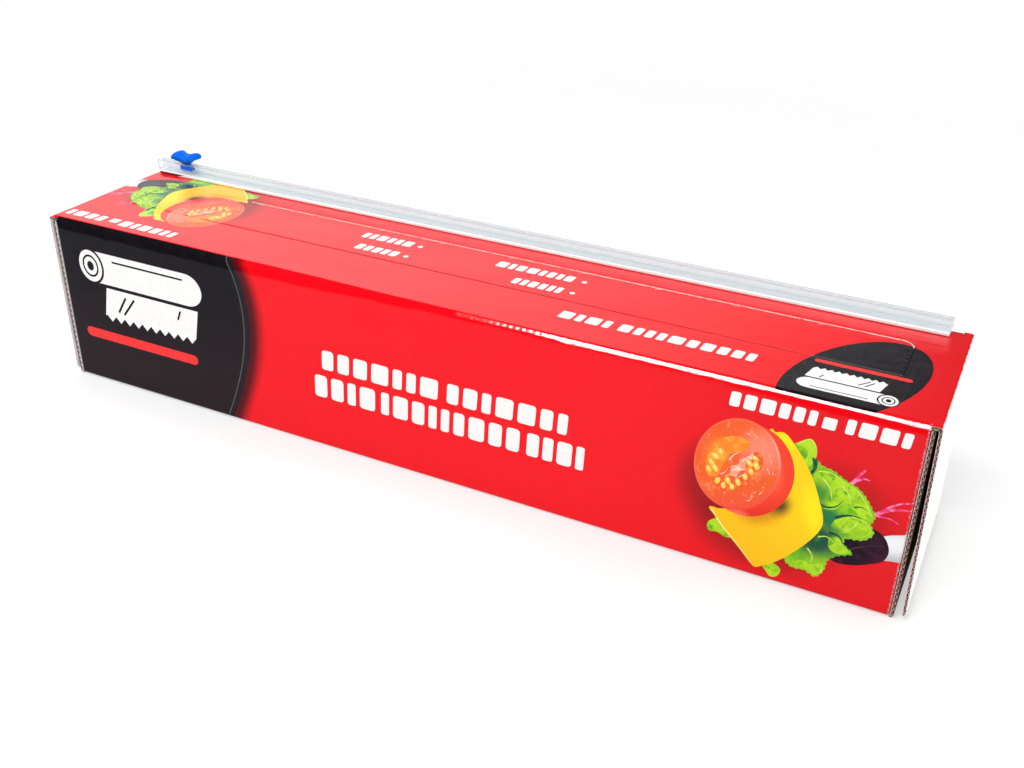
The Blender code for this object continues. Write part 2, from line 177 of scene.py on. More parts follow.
class Graph:
    """A node tree that is filled through fields."""

    def __init__(self, tree):
        self.tree = tree

    def set(self, node, inputs):
        """Link fields and store numbers; colours are given without alpha."""
        for key, value in inputs.items():
            socket = node.inputs[key]
            if isinstance(value, Field):
                self.tree.links.new(value.socket, socket)
            elif socket.type == 'RGBA':
                socket.default_value = (*value, 1.0)
            else:
                socket.default_value = value

    def node(self, kind, inputs, **props):
        node = self.tree.nodes.new("ShaderNode" + kind)
        for key, value in props.items():
            setattr(node, key, value)
        self.set(node, inputs)
        return node

    def value(self, kind, inputs={}, output=0, **props):
        return Field(self, self.node(kind, inputs, **props).outputs[output])

    def mix(self, factor, under, over):
        """Colour mix: under at factor 0, over at 1."""
        return self.value("Mix", {"Factor": factor, 6: under, 7: over}, output=2,
                          data_type='RGBA')

    def combine(self, x, y):
        return self.value("CombineXYZ", {0: x, 1: y})

    def object_mm(self):
        """Object coordinates in millimetres."""
        return self.value("TexCoord", output="Object").scaled(1000.0)


class Surface(Graph):
    """A new material and its Principled shader."""

    def __init__(self, name):
        self.material = bpy.data.materials.new(name)
        self.material.use_nodes = True
        super().__init__(self.material.node_tree)
        self.bsdf = self.tree.nodes["Principled BSDF"]

    def shade(self, inputs):
        self.set(self.bsdf, inputs)

    def relief(self, height, strength, sockets=("Normal",)):
        """Bump from a height in mm."""
        bump = self.value("Bump", {"Strength": strength, "Distance": MM, "Height": height})
        self.shade({socket: bump for socket in sockets})


class Place:
    """Where a drawing lies: a plane of the carton, an origin on it in mm,
    a turn in degrees and a scale."""

    def __init__(self, plane, x=0.0, y=0.0, turn=0.0, scale=1.0):
        self.plane, self.x, self.y, self.scale = plane, x, y, scale
        self.cos, self.sin = cos(radians(turn)), sin(radians(turn))

    def point(self, point):
        x, y = point[0] * self.scale, point[1] * self.scale
        return (self.x + self.cos * x - self.sin * y, self.y + self.sin * x + self.cos * y)

    def coords(self, graph):
        """Drawing coordinates x and y as fields, in the drawing's own mm."""
        across, depth, up = graph.object_mm().split()
        if self.plane in ("top", "base"):
            up = depth
        if self.plane == "rear":
            across = across * -1.0
        if self.plane == "base":
            up = up * -1.0
        across = across - self.x
        up = up - self.y
        cosine, sine = self.cos / self.scale, self.sin / self.scale
        return across * cosine + up * sine, up * cosine - across * sine


def radial(x, y, centre_x, centre_y, radius_x, radius_y, turn=0.0):
    """Distance from a centre, counted as 1 on the ellipse round it."""
    cosine, sine = cos(turn), sin(turn)
    off_x = x - centre_x
    off_y = y - centre_y
    along = off_x * (cosine / radius_x) + off_y * (sine / radius_x)
    side = off_y * (cosine / radius_y) - off_x * (sine / radius_y)
    return (along * along + side * side).root()


def shade_of(colour, factor):
    return tuple(min(1.0, channel * factor) for channel in colour)


# ------------------------------------------------------------ printed surface
def dull_roll(surface, mm, axes, plane, coat):
    """Take the shine off where wall and top roll into the upper front fold,
    along a ragged line."""
    x, y, z = axes
    if plane == "front":
        line = x.ramp((-110.0, 40.0), to=(89.2, 92.0))
        line = line - x.ramp((110.0, 220.0), to=(0.0, 1.9))
        ragged = mm.stretch(1.0, 1.0, 0.1).noise(scale=0.07, detail=4.0, rough=0.65)
        line = line + (ragged - 0.5) * 3.4
        lit = (z - line).ramp((-0.8, 0.8), to=(1.0, 0.0))
    else:
        line = x.ramp((-70.0, 55.0), to=(-43.1, -46.4))
        ragged = mm.stretch(1.0, 0.1, 1.0).noise(scale=0.05, detail=3.0, rough=0.6)
        line = line + (ragged - 0.5) * 1.0
        lit = (y - line).ramp((-0.5, 0.5))
    surface.shade({"Coat Weight": lit * coat, "Specular IOR Level": lit * 0.5})


def print_surface(surface, plane, rough=0.2, coat=0.50, fold=False):
    """Varnished print on fluted board: faint flute lines, a slow waviness
    that bends reflections, fine paper grain and scuffed varnish.  Returns
    the mm coordinates whole and split."""
    mm = surface.object_mm()
    axes = x, y, z = mm.split()
    flute = (x * FLUTE_TURN).sine()
    slow = mm.stretch(0.35, 1, 1).noise(scale=0.045, detail=2.0, rough=0.45)
    middle = mm.stretch(1.6, 0.5, 0.5).noise(scale=0.22, detail=2.0, rough=0.5)
    grain = mm.noise(scale=1.4, detail=3.0, rough=0.6)
    # heights in mm; the folds are pulled flatter
    pull = 0.35 if fold else 1.0
    height = flute * (0.007 * pull) + slow * (0.9 * pull)
    height = height + middle * (0.07 * pull) + grain * (0.002 * pull)
    if plane == "top":
        # the glued strip under the rear edge shows through as a low step
        step = y.ramp((25.4, 27.2)) * abs(x).ramp((221.5, 223.5), to=(1.0, 0.0))
        height = height + step * 0.22
    surface.relief(height, strength=0.55, sockets=("Normal", "Coat Normal"))
    scuff = mm.stretch(0.6, 1.4, 1.4).noise(scale=0.9, detail=4.0, rough=0.65)
    surface.shade({
        "Roughness": scuff.ramp((0.35, 0.75), to=(rough - 0.03, rough + 0.06)),
        "Coat Weight": 1.0 if fold else coat,
        "Coat Roughness": 0.10 if fold else 0.08,
        "Coat IOR": 1.9 if fold else 1.5,
        "IOR": 1.46})
    if (plane == "front" and not fold) or (plane == "top" and coat > 0.3):
        dull_roll(surface, mm, axes, plane, coat)
    return mm, axes


def cracked(mm, near, stretch, scale, rough, span):
    """Cracks inside the mask `near`."""
    crack = mm.stretch(*stretch).noise(scale=scale, detail=4.0, rough=rough)
    return (near * crack).ramp(span)


def wear_mask(plane, mm, axes):
    """1 on the creases where the ink has cracked through to white board."""
    end, up = abs(axes[0]), axes[2]
    if plane == "top":
        ends = cracked(mm, end.ramp((HINGE_X - 1.5, HINGE_X - 0.35)),
                       stretch=(1.0, 0.5, 1.0), scale=1.2, rough=0.7, span=(0.40, 0.52))
        folds = cracked(mm, up.ramp((TOP_Z - 1.0, TOP_Z - 1.9)),
                        stretch=(0.5, 1.0, 1.0), scale=1.1, rough=0.75, span=(0.58, 0.66))
    else:
        ends = cracked(mm, end.ramp((WALL_X - 2.6, WALL_X - 0.5)),
                       stretch=(0.5, 1.0, 2.6), scale=1.3, rough=0.7, span=(0.50, 0.60))
        folds = cracked(mm, up.ramp((0.9, 0.1)),
                        stretch=(1.2, 1.0, 1.0), scale=0.8, rough=0.7, span=(0.50, 0.62))
    return ends.maximum(folds)


def show_wear(surface, colour, plane, mm, axes):
    return surface.mix(wear_mask(plane, mm, axes), colour, WHITE_BOARD)


def ink_tone(mm):
    """Slight unevenness of ink lay-down."""
    return mm.noise(scale=0.8, detail=4.0, rough=0.6).ramp((0.3, 0.7), to=(0.97, 1.03))


def ink(name, place, base, mods=(), rough=0.2, coat=0.50, wear=True, fold=False, extra={}):
    """A printed colour with soft variation inside it.  mods are mixed over
    the base in order, places and lengths in the drawing's mm, turns in radians:
      ("noise", scale, colour, from, to, strength[, (stretch x, stretch y)])
      ("radial", centre x, y, radius x, y, from, to, colour, strength[, turn])
      ("linear", start x, y, end x, y, colour, strength)
    extra holds further shader inputs."""
    surface = Surface(name)
    mm, axes = print_surface(surface, place.plane, rough, coat, fold)
    x, y = place.coords(surface)
    if any(mod[0] == "noise" for mod in mods):
        flat = surface.combine(x, y)
    colour = surface.mix(0.0, base, base)
    for kind, *values in mods:
        if kind == "noise":
            scale, tint, low, high, strength, *squeeze = values
            stretch_x, stretch_y = squeeze[0] if squeeze else (1.0, 1.0)
            mask = flat.stretch(stretch_x, stretch_y, 1.0).noise(
                scale=scale, detail=3.0, rough=0.55, distort=0.6).ramp((low, high))
        elif kind == "radial":
            *oval, low, high, tint, strength = values[:8]
            mask = radial(x, y, *oval, *values[8:]).ramp((low, high))
        else:
            start_x, start_y, end_x, end_y, tint, strength = values
            run, rise = end_x - start_x, end_y - start_y
            square = run * run + rise * rise
            share = x * (run / square) + y * (rise / square)
            share = share - (start_x * run + start_y * rise) / square
            mask = share.ramp((0.0, 1.0))
        colour = surface.mix(mask * strength, colour, tint)
    colour = colour.scaled(ink_tone(mm))
    if wear and place.plane != "base":
        colour = show_wear(surface, colour, place.plane, mm, axes)
    surface.shade({"Base Color": colour, **extra})
    return surface.material


# inks of the picture and marks: key -> (colour, mods), in mm about the tomato
INKS = {
    "skin": ((0.88, 0.050, 0.018), (
        ("radial", 15.5, 1, 6.5, 13, 1.0, 0.0, (0.95, 0.17, 0.075), 0.85, 0.15),
        ("linear", 4, -14, 9, -27, (0.72, 0.012, 0.008), 0.85),
        ("radial", 3, -24, 8, 3.2, 1.0, 0.1, (0.97, 0.20, 0.12), 0.7))),
    "rim": ((0.90, 0.130, 0.060), (
        ("radial", 14, 12, 11, 15, 1.0, 0.0, (0.97, 0.42, 0.33), 0.75),
        ("linear", -4, -8, 2, -25, (0.86, 0.050, 0.025), 0.85))),
    "flesh": ((0.87, 0.110, 0.016), (
        ("radial", 10, 10, 13, 14, 1.05, 0.2, (0.92, 0.260, 0.165), 0.85, -0.3),
        ("radial", -9, 3, 8, 13, 1.0, 0.1, (0.93, 0.225, 0.012), 0.9, -0.2),
        ("linear", -2, -9, 3, -23, (0.86, 0.080, 0.035), 0.85),
        ("noise", 0.30, (0.96, 0.36, 0.18), 0.54, 0.74, 0.50, (1.0, 0.6)),
        ("noise", 1.1, (0.98, 0.56, 0.44), 0.64, 0.76, 0.50),
        ("noise", 0.75, (0.80, 0.075, 0.020), 0.60, 0.76, 0.50))),
    "gel": ((0.93, 0.235, 0.014), (
        ("noise", 0.22, (0.97, 0.43, 0.05), 0.44, 0.66, 0.8),
        ("noise", 0.8, (0.82, 0.085, 0.010), 0.56, 0.74, 0.55))),
    "gel_deep": ((0.84, 0.100, 0.018), (
        ("noise", 0.30, (0.95, 0.29, 0.06), 0.46, 0.66, 0.8),
        ("noise", 0.9, (0.70, 0.030, 0.010), 0.56, 0.74, 0.6))),
    "seed": ((0.99, 0.500, 0.030), (
        ("noise", 0.5, (1.0, 0.68, 0.12), 0.42, 0.62, 0.8),)),
    "seed_light": ((1.0, 0.780, 0.330), (
        ("noise", 0.9, (1.0, 0.64, 0.12), 0.48, 0.66, 0.6),)),
    "core": ((0.94, 0.330, 0.200), (
        ("noise", 0.40, (0.98, 0.66, 0.56), 0.46, 0.60, 0.9, (0.6, 1.0)),
        ("noise", 0.9, (0.88, 0.160, 0.080), 0.56, 0.70, 0.8))),
    "gloss": ((0.97, 0.560, 0.450), (
        ("noise", 0.9, (1.0, 0.82, 0.76), 0.52, 0.66, 0.8),)),
    "cheese": ((1.0, 0.620, 0.0), (
        ("linear", 26, -4, 6, -40, (1.0, 0.500, 0.0), 0.9),
        ("radial", 34.5, -12, 7, 19, 1.0, 0.15, (1.0, 0.780, 0.0), 0.9, 0.22),
        ("radial", 19, 17, 8, 6, 1.0, 0.2, (1.0, 0.800, 0.0), 0.8),
        ("radial", 12.5, -19.5, 15.5, 10.5, 1.0, 0.25, (0.60, 0.200, 0.0), 0.75, 0.5),
        ("radial", 21.0, -14.2, 6.6, 9.0, 1.0, 0.05, (0.055, 0.020, 0.010), 0.93, -0.45))),
    "cheese_edge": ((1.0, 0.800, 0.400), (
        ("noise", 0.5, (1.0, 0.62, 0.04), 0.46, 0.64, 0.7),)),
    "leaf_dark": ((0.008, 0.120, 0.035), (
        ("noise", 0.10, (0.003, 0.055, 0.040), 0.42, 0.60, 0.9),
        ("noise", 0.28, (0.060, 0.300, 0.020), 0.56, 0.74, 0.7, (1.0, 0.6)))),
    "leaf": ((0.150, 0.460, 0.010), (
        ("noise", 0.09, (0.300, 0.600, 0.010), 0.42, 0.58, 0.9),
        ("radial", 42, -14.0, 13, 7.5, 1.0, 0.25, (0.010, 0.170, 0.060), 0.95, -0.5),
        ("radial", 38, -26, 14, 13, 1.0, 0.30, (0.003, 0.065, 0.045), 0.96),
        ("radial", 31, -3, 6.0, 13, 1.0, 0.25, (0.010, 0.150, 0.020), 0.95, 0.25),
        ("noise", 0.30, (0.050, 0.280, 0.012), 0.54, 0.72, 0.6, (1.0, 0.6)))),
    "leaf_light": ((0.300, 0.590, 0.008), (
        ("noise", 0.12, (0.450, 0.730, 0.015), 0.42, 0.60, 0.9),
        ("radial", 34.5, -3.5, 8.5, 10, 1.0, 0.2, (0.020, 0.220, 0.035), 0.9, -0.5),
        ("radial", 44, -19.5, 6.5, 4.5, 1.0, 0.2, (0.015, 0.190, 0.040), 0.85),
        ("radial", 28.0, 5.5, 5.0, 5.5, 1.0, 0.2, (0.030, 0.240, 0.020), 0.85),
        ("noise", 0.26, (0.070, 0.330, 0.012), 0.52, 0.68, 0.85, (1.0, 0.7)))),
    "vein": ((0.600, 0.800, 0.120), (
        ("noise", 0.4, (0.40, 0.68, 0.03), 0.45, 0.65, 0.7),)),
    "purple": ((0.012, 0.003, 0.009), (
        ("noise", 0.12, (0.045, 0.008, 0.030), 0.48, 0.66, 0.8),
        ("linear", 58, -26, 66, -33, (0.11, 0.010, 0.040), 0.6))),
    "purple_vein": ((0.085, 0.020, 0.055), (
        ("noise", 0.4, (0.03, 0.008, 0.02), 0.45, 0.65, 0.6),)),
    "fork": ((0.84, 0.84, 0.86), (
        ("linear", 66, -20, 68, -28, (0.42, 0.42, 0.46), 0.9),
        ("linear", 66, -17, 65, -12.5, (0.62, 0.62, 0.66), 0.7))),
    "sprig": ((0.80, 0.030, 0.190), (
        ("noise", 0.25, (0.92, 0.26, 0.44), 0.44, 0.60, 0.85),)),
    "ink_white": (WHITE, (("noise", 0.3, (0.80, 0.79, 0.79), 0.5, 0.7, 0.5),)),
    "ink_black": (BLACK, (("noise", 0.2, (0.018, 0.014, 0.017), 0.45, 0.65, 0.8),)),
    "ink_bar": ((0.86, 0.030, 0.030), (
        ("noise", 0.3, (0.92, 0.05, 0.04), 0.45, 0.65, 0.6),)),
    "ink_grey": ((0.090, 0.085, 0.092), (
        ("noise", 0.3, (0.07, 0.065, 0.07), 0.45, 0.65, 0.6),)),
}


def ink_set(place, tag):
    """The inks for one place on the carton."""
    return {key: ink(tag + "_" + key, place, base, mods)
            for key, (base, mods) in INKS.items()}


def arc_distance(x, y):
    """Distance to the right of the red print's curved edge."""
    off = y - ARC_Z
    square = off * off
    cube = square * off
    bow = square * ARC_SQUARE + cube * ARC_CUBE
    return (x + ARC_X) + bow


def shaded_red(name, place, shadows, dim_span, dim, arc=False):
    """Red ink with the soft printed shadows of the picture.  shadows holds
    (centre x, y, radius x, y, from, to, strength); the tone falls to `dim`
    across dim_span in x, a painted shade of the light falling off towards
    the right end; arc adds the printed shadow of the black field."""
    surface = Surface(name)
    mm, axes = print_surface(surface, place.plane)
    x, y = place.coords(surface)
    if arc:
        edge = arc_distance(x, y).ramp((0.0, 9.5), to=(0.93, 0.0))
        colour = surface.mix(edge, RED, (0.030, 0.004, 0.006))
    else:
        colour = surface.mix(0.0, RED, RED)
    for *oval, low, high, strength in shadows:
        mask = radial(x, y, *oval).ramp((low, high)) * strength
        colour = surface.mix(mask, colour, (0.24, 0.004, 0.006))
    # painted shade: the red darkens towards the right end
    colour = colour.scaled(ink_tone(mm) * x.ramp(dim_span, to=(1.0, dim)))
    surface.shade({"Base Color": show_wear(surface, colour, place.plane, mm, axes)})
    return surface.material


def front_black():
    """Black ink of the field left of the curved edge, warmer low down."""
    surface = Surface("front_black")
    mm, axes = print_surface(surface, "front")
    x, y = FRONT.coords(surface)
    colour = surface.mix(arc_distance(x, y).ramp((-9.0, -1.8)), BLACK, (0.016, 0.012, 0.015))
    mottle = mm.noise(scale=0.15, detail=3.0, rough=0.6).ramp((0.4, 0.7), to=(0.0, 0.5))
    colour = surface.mix(mottle, colour, (0.012, 0.010, 0.012))
    colour = surface.mix(y.ramp((78.0, 8.0), to=(0.0, 0.9)), colour, (0.022, 0.010, 0.012))
    surface.shade({"Base Color": show_wear(surface, colour, "front", mm, axes)})
    return surface.material


# ------------------------------------------------------------ board materials
def board_material(name, tint, rough=0.8, fibre=0.25, overlay=None, extra={}):
    """Paperboard liner: fibres, slow mottling and faint flute lines.
    overlay(surface, colour) may paint over the paper colour."""
    surface = Surface(name)
    mm = surface.object_mm()
    strands = mm.stretch(1.0, 4.0, 1.0).noise(scale=1.6, detail=5.0, rough=0.7)
    mottle = mm.noise(scale=0.12, detail=3.0, rough=0.6)
    speck = mm.noise(scale=5.0, detail=2.0, rough=0.5)
    colour = surface.mix(strands.ramp((0.3, 0.7)), shade_of(tint, 1.0 - fibre),
                         shade_of(tint, 1.0 + 0.35 * fibre))
    colour = surface.mix(mottle.ramp((0.35, 0.7), to=(0.0, 0.35)), colour,
                         shade_of(tint, 0.86))
    colour = surface.mix(speck.ramp((0.68, 0.78), to=(0.0, 0.4)), colour,
                         shade_of(tint, 0.6))
    if overlay:
        colour = overlay(surface, colour)
    x, y, z = mm.split()
    flute = ((x + z) * FLUTE_TURN).sine()
    surface.relief(strands * 0.06 + flute * 0.02 + mottle * 0.3, strength=0.6)
    surface.shade({"Base Color": colour,
                   "Roughness": strands.ramp((0.3, 0.7), to=(rough - 0.06, rough + 0.08)),
                   **extra})
    return surface.material


def cut_edge_waves():
    """Cut edge of the top along X: two liners, a wavy sheet between them, and the hollows
    between them painted near-black as painted shade.
    """
    surface = Surface("cut_edge_waves")
    mm = surface.object_mm()
    x, y, z = mm.split()
    off_middle = z - (TOP_Z - BOARD / 2)
    wave = (x * FLUTE_TURN).sine() * 0.42
    sheet_mask = abs(off_middle - wave).ramp((0.10, 0.20), to=(1.0, 0.0))
    liner = abs(off_middle).ramp((0.48, 0.54))
    solid = sheet_mask.maximum(liner)
    fibre = mm.noise(scale=3.0, detail=4.0, rough=0.6).ramp((0.3, 0.7))
    paper = surface.mix(fibre, (0.36, 0.25, 0.16), (0.58, 0.45, 0.33))
    # the hollows between the papers are painted near-black: painted shade
    surface.shade({"Base Color": surface.mix(solid, (0.045, 0.028, 0.018), paper),
                   "Roughness": 0.9})
    surface.relief(solid * 0.4, strength=0.8)
    return surface.material


kraft = board_material("kraft_liner", (0.50, 0.34, 0.21), rough=0.85, fibre=0.28)
plain_face = board_material("unprinted_liner", (0.84, 0.82, 0.81), rough=0.75, fibre=0.10,
                            extra={"Specular IOR Level": 0.0})
wave_edge = cut_edge_waves()
rim_plain = board_material("cut_edge_plain", (0.46, 0.33, 0.23), rough=0.9, fibre=0.35)
rim_white = board_material("torn_white_edge", (0.80, 0.76, 0.72), rough=0.8, fibre=0.12)
# near-black board for cut edges in deep shade: painted shade
rim_painted_shade = board_material("cut_edge_shadowed", (0.030, 0.018, 0.016), rough=0.95, fibre=0.3)


# ------------------------------------------------------------- drawing tools
def ellipse(centre_x, centre_y, radius_x, radius_y, turn=0.0, count=48):
    cosine, sine = cos(radians(turn)), sin(radians(turn))
    out = []
    for k in range(count):
        angle = 2 * pi * k / count
        x, y = radius_x * cos(angle), radius_y * sin(angle)
        out.append((centre_x + cosine * x - sine * y, centre_y + sine * x + cosine * y))
    return out


def rect(x0, y0, x1, y1):
    return [(x0, y0), (x1, y0), (x1, y1), (x0, y1)]


def rounded(x0, y0, x1, y1, radius, steps=4, slant=0.0):
    points = []
    for corner_x, corner_y, start in (
            (x1 - radius, y0 + radius, -90), (x1 - radius, y1 - radius, 0),
            (x0 + radius, y1 - radius, 90), (x0 + radius, y0 + radius, 180)):
        for k in range(steps + 1):
            angle = radians(start + 90 * k / steps)
            points.append((corner_x + radius * cos(angle), corner_y + radius * sin(angle)))
    return [(x + slant * (y - y0), y) for x, y in points]


def stroke(points, width, taper=1.0):
    """Outline of a brush line through points, thinning to taper x width."""
    left, right = [], []
    last = len(points) - 1
    for i, (x, y) in enumerate(points):
        x0, y0 = points[max(0, i - 1)]
        x1, y1 = points[min(last, i + 1)]
        span = hypot(x1 - x0, y1 - y0) or 1.0
        normal_x, normal_y = -(y1 - y0) / span, (x1 - x0) / span
        half = width / 2 * (1 + (taper - 1) * i / last)
        left.append((x + normal_x * half, y + normal_y * half))
        right.append((x - normal_x * half, y - normal_y * half))
    return left + right[::-1]


def spline(points, steps=6, closed=False):
    """Catmull-Rom curve through rows of any number of values."""
    count = len(points)
    out = []
    for i in range(count if closed else count - 1):
        if closed:
            around = [points[(i + k) % count] for k in (-1, 0, 1, 2)]
        else:
            around = [points[min(max(i + k, 0), count - 1)] for k in (-1, 0, 1, 2)]
        for k in range(steps):
            t = k / steps
            out.append(tuple(
                0.5 * (2 * p1 + (p2 - p0) * t + (2 * p0 - 5 * p1 + 4 * p2 - p3) * t * t
                       + (3 * p1 - p0 - 3 * p2 + p3) * t ** 3)
                for p0, p1, p2, p3 in zip(*around)))
    if not closed:
        out.append(tuple(points[-1]))
    return out


def frill(points, depth, length, seed):
    """A closed outline with a ruffled edge, as on a lettuce leaf."""
    base = spline(points, 10, closed=True)
    rng = random.Random(seed)
    out = []
    run = 0.0
    phase = rng.random() * 6
    for i, (x, y) in enumerate(base):
        x0, y0 = base[i - 1]
        x1, y1 = base[(i + 1) % len(base)]
        span = hypot(x1 - x0, y1 - y0) or 1.0
        run += hypot(x - x0, y - y0)
        wave = (sin(2 * pi * run / length + phase) * 0.6
                + sin(2 * pi * run / (length * 0.43) + 1.7) * 0.4)
        wave *= depth * (0.7 + 0.6 * rng.random())
        out.append((x + (y1 - y0) / span * wave, y - (x1 - x0) / span * wave))
    return out


def inside(poly, x, y):
    hit = False
    x0, y0 = poly[-1]
    for x1, y1 in poly:
        if (y1 > y) != (y0 > y) and x < (x0 - x1) * (y - y1) / (y0 - y1) + x1:
            hit = not hit
        x0, y0 = x1, y1
    return hit


class Region:
    """An outline filled with one material."""

    def __init__(self, poly, material):
        self.poly, self.material = poly, material
        xs, ys = zip(*poly)
        self.box = (min(xs), min(ys), max(xs), max(ys))

    def has(self, x, y):
        x0, y0, x1, y1 = self.box
        return x0 <= x <= x1 and y0 <= y <= y1 and inside(self.poly, x, y)


class Drawing:
    """Regions drawn in one place, each later one over those before."""

    def __init__(self, place, inks):
        self.place, self.inks, self.regions = place, inks, []

    def put(self, key, poly):
        self.regions.append(Region([self.place.point(p) for p in poly], self.inks[key]))

    def blob(self, key, points, steps=4):
        self.put(key, spline(points, steps, closed=True))

    def brush(self, key, taper, lines):
        """lines holds (width, points to run through)."""
        for width, points in lines:
            self.put(key, stroke(spline(points), width, taper))

    def word(self, x0, x1, y0, y1, pitch, slant, seed, key="ink_white"):
        """A word stood for by plain upright blocks of uneven width."""
        count = max(1, int(round((x1 - x0) / pitch)))
        rng = random.Random(seed)
        widths = [rng.choice((0.62, 0.8, 0.95, 1.15)) for _ in range(count)]
        gap = 0.27 * pitch
        unit = (x1 - x0 - gap * (count - 1)) / sum(widths)
        x = x0
        for width in widths:
            radius = min(0.14 * (y1 - y0), 0.25 * width * unit)
            self.put(key, rounded(x, y0, x + width * unit, y1, radius, 3, slant))
            x += width * unit + gap


def text_rows(x0, top, row_step, height, widths, gap, pitch, seed):
    """Five rows of words; every other row is one word short."""
    lines = []
    for row in range(5):
        y = top - row * row_step
        x = x0
        for width in widths[:len(widths) - row % 2]:
            lines.append((x, x + width, y, y + height, pitch, 0.0, seed))
            x += width + gap
            seed += 1
    return lines


# --------------------------------------------------- serving picture outlines
# All in mm about the tomato's centre.  Outlines are points (x, y); brush
# lines are (width, points).
FORK = [(56, -21), (61, -17.0), (67, -13.8), (76, -10.6), (76, -25.3),
        (69, -26.4), (62, -28), (56, -28)]
SPRIGS = (
    (2.1, ((45, 2), (48.5, 6.5), (50.6, 10.8), (52.4, 13.6))),
    (1.2, ((49.2, 7.4), (52.6, 9.4), (54.8, 9.2))),
    (2.0, ((56, -9), (60, -5.4), (64.5, -2.2), (69.5, -0.6), (75, 0.6))),
    (1.3, ((61.5, -4.2), (64.0, -1.0), (68.5, 2.4), (72.5, 3.6))),
    (1.0, ((60, -6.4), (65.5, -6.2), (69.0, -7.6))))
DARK_LEAF = [(46, -18), (53, -14.6), (59, -13.0), (64.6, -15.4), (67.6, -21.5),
             (66.2, -27.4), (60.4, -31.2), (53.5, -34.0), (46, -34.4), (41, -28)]
DARK_LEAF_VEIN = (0.9, ((48, -29), (54, -25), (60, -21.6), (65.5, -20)))
LETTUCE = [(24, 12), (31, 13.4), (35.4, 10.6), (40.4, 9.4), (45.4, 6.6), (51.4, 4.0),
           (56.4, -1.4), (59.6, -7.4), (58.6, -11.4), (60.4, -15.6), (56.6, -20.2),
           (50.2, -21.4), (49.6, -24.6), (53.6, -28.2), (47.8, -31.4), (44.2, -35.0),
           (43.4, -40.4), (40.2, -45.2), (35.0, -43.4), (29.4, -43.6), (25.0, -38),
           (24, -20)]
LETTUCE_LOBES = (
    ((22, 15.4), (25.2, 19.4), (29.2, 21.6), (32.0, 17.4), (31.8, 11.6), (29.0, 7.0),
     (25, 5.0)),
    ((33.2, 7.0), (37.4, 8.4), (42.2, 7.4), (46.0, 5.4), (51.0, 3.2), (55.4, -1.8),
     (58.6, -7.6), (54.4, -9.2), (50.0, -6.0), (46.2, -4.6), (43.6, -8.4), (39.2, -9.6),
     (35.4, -6.6), (32.4, -1.0)),
    ((45.6, -11.8), (50.4, -9.6), (56.0, -10.6), (59.4, -15.0), (55.8, -19.2),
     (50.8, -18.2), (46.4, -20.0), (43.0, -17.0)),
    ((30.0, -41.2), (33.4, -38.4), (37.6, -39.4), (42.0, -37.6), (42.6, -41.4),
     (39.8, -44.6), (35.2, -42.8), (31.0, -43.0)),
    ((43.4, -23.2), (47.4, -22.0), (49.8, -25.6), (52.6, -28.0), (47.4, -30.2),
     (43.6, -28.2)))
LETTUCE_SHADOWS = (
    (2.2, ((31.6, 13.2), (32.4, 8.4), (30.4, 3.6), (29.6, -3.0))),
    (1.6, ((34.0, -5.0), (38.4, -8.6), (43.2, -7.4), (45.8, -3.6))),
    (1.7, ((44.0, -12.6), (49.2, -9.8), (54.6, -9.6))),
    (1.6, ((42.6, -20.8), (46.8, -21.2), (49.0, -24.6))),
    (0.9, ((50.6, -5.2), (53.6, -4.2), (56.2, -5.4))))
LETTUCE_VEINS = (
    (0.6, ((24.2, 18.4), (28.8, 21.2), (31.8, 17.6), (31.8, 12.4))),
    (0.7, ((27.2, 6.6), (28.6, 11.2), (28.8, 16.2))),
    (0.6, ((34.0, 7.4), (38.0, 8.2), (42.2, 7.2), (46.0, 5.2), (51.0, 3.0))),
    (0.7, ((51.0, 3.0), (55.2, -2.0), (58.4, -7.4))),
    (0.8, ((36.2, 5.0), (40.0, 0.6), (41.4, -4.6))),
    (0.7, ((44.4, 3.6), (47.6, 0.0), (48.8, -3.8))),
    (0.6, ((50.6, -10.0), (56.0, -10.9), (59.2, -15.0), (55.8, -19.0))),
    (0.7, ((53.0, -12.6), (51.6, -15.4), (48.4, -17.6))),
    (0.7, ((38.6, -24.4), (42.2, -23.2), (46.6, -25.8))),
    (0.8, ((35.0, -31.6), (37.6, -35.0), (37.4, -38.8))),
    (0.6, ((42.2, -38.0), (42.4, -41.6), (39.8, -44.4))))
LETTUCE_BITS = (
    ((-8.4, -31.6), (-4.6, -29.4), (-1.6, -33.2), (2.6, -37.0), (-0.8, -38.2),
     (-4.6, -36.8), (-8.4, -37.2), (-9.6, -34.4)),
    ((17.4, -47.4), (21.4, -44.6), (25.2, -46.8), (24.2, -50.8), (21.2, -52.0),
     (19.0, -49.6)))
CHEESE = [(10.6, 18.4), (14.4, 20.6), (18.4, 21.2), (22.8, 17.0), (27.8, 10.6), (32.6, 2.8),
          (36.6, -6.6), (39.2, -14.4), (39.2, -19.6), (36.6, -25.6), (32.0, -32.6),
          (26.2, -39.8), (21.6, -44.4), (17.6, -47.4), (14.2, -49.4), (11.8, -48.0),
          (7.4, -43.4), (2.4, -38.4), (-3.0, -33.4), (-6.8, -28.4), (-9.4, -24.4),
          (0, -20)]
CHEESE_EDGE = (0.7, ((-8.8, -24.8), (-6.2, -28.6), (-2.4, -33.2), (2.8, -38.2),
                     (7.8, -43.2), (12.6, -48.2)))
TOMATO_TURN = -11                    # degrees
FLESH_RADII = (17.7, 22.3)
GEL = [(-13.4, -3.4), (-12.0, 5.4), (-7.6, 11.4), (-0.6, 14.2), (4.4, 12.2), (2.6, 7.8),
       (-3.6, 4.6), (-6.0, -1.6), (-7.8, -8.0), (-12.0, -8.6)]
GEL_DEEP = [(2.0, 2.6), (4.8, 7.4), (9.4, 8.8), (11.2, 3.6), (9.0, -3.4), (5.2, -8.8),
            (0.0, -13.6), (-6.4, -14.8), (-9.6, -11.8), (-5.0, -8.2), (0.2, -5.4)]
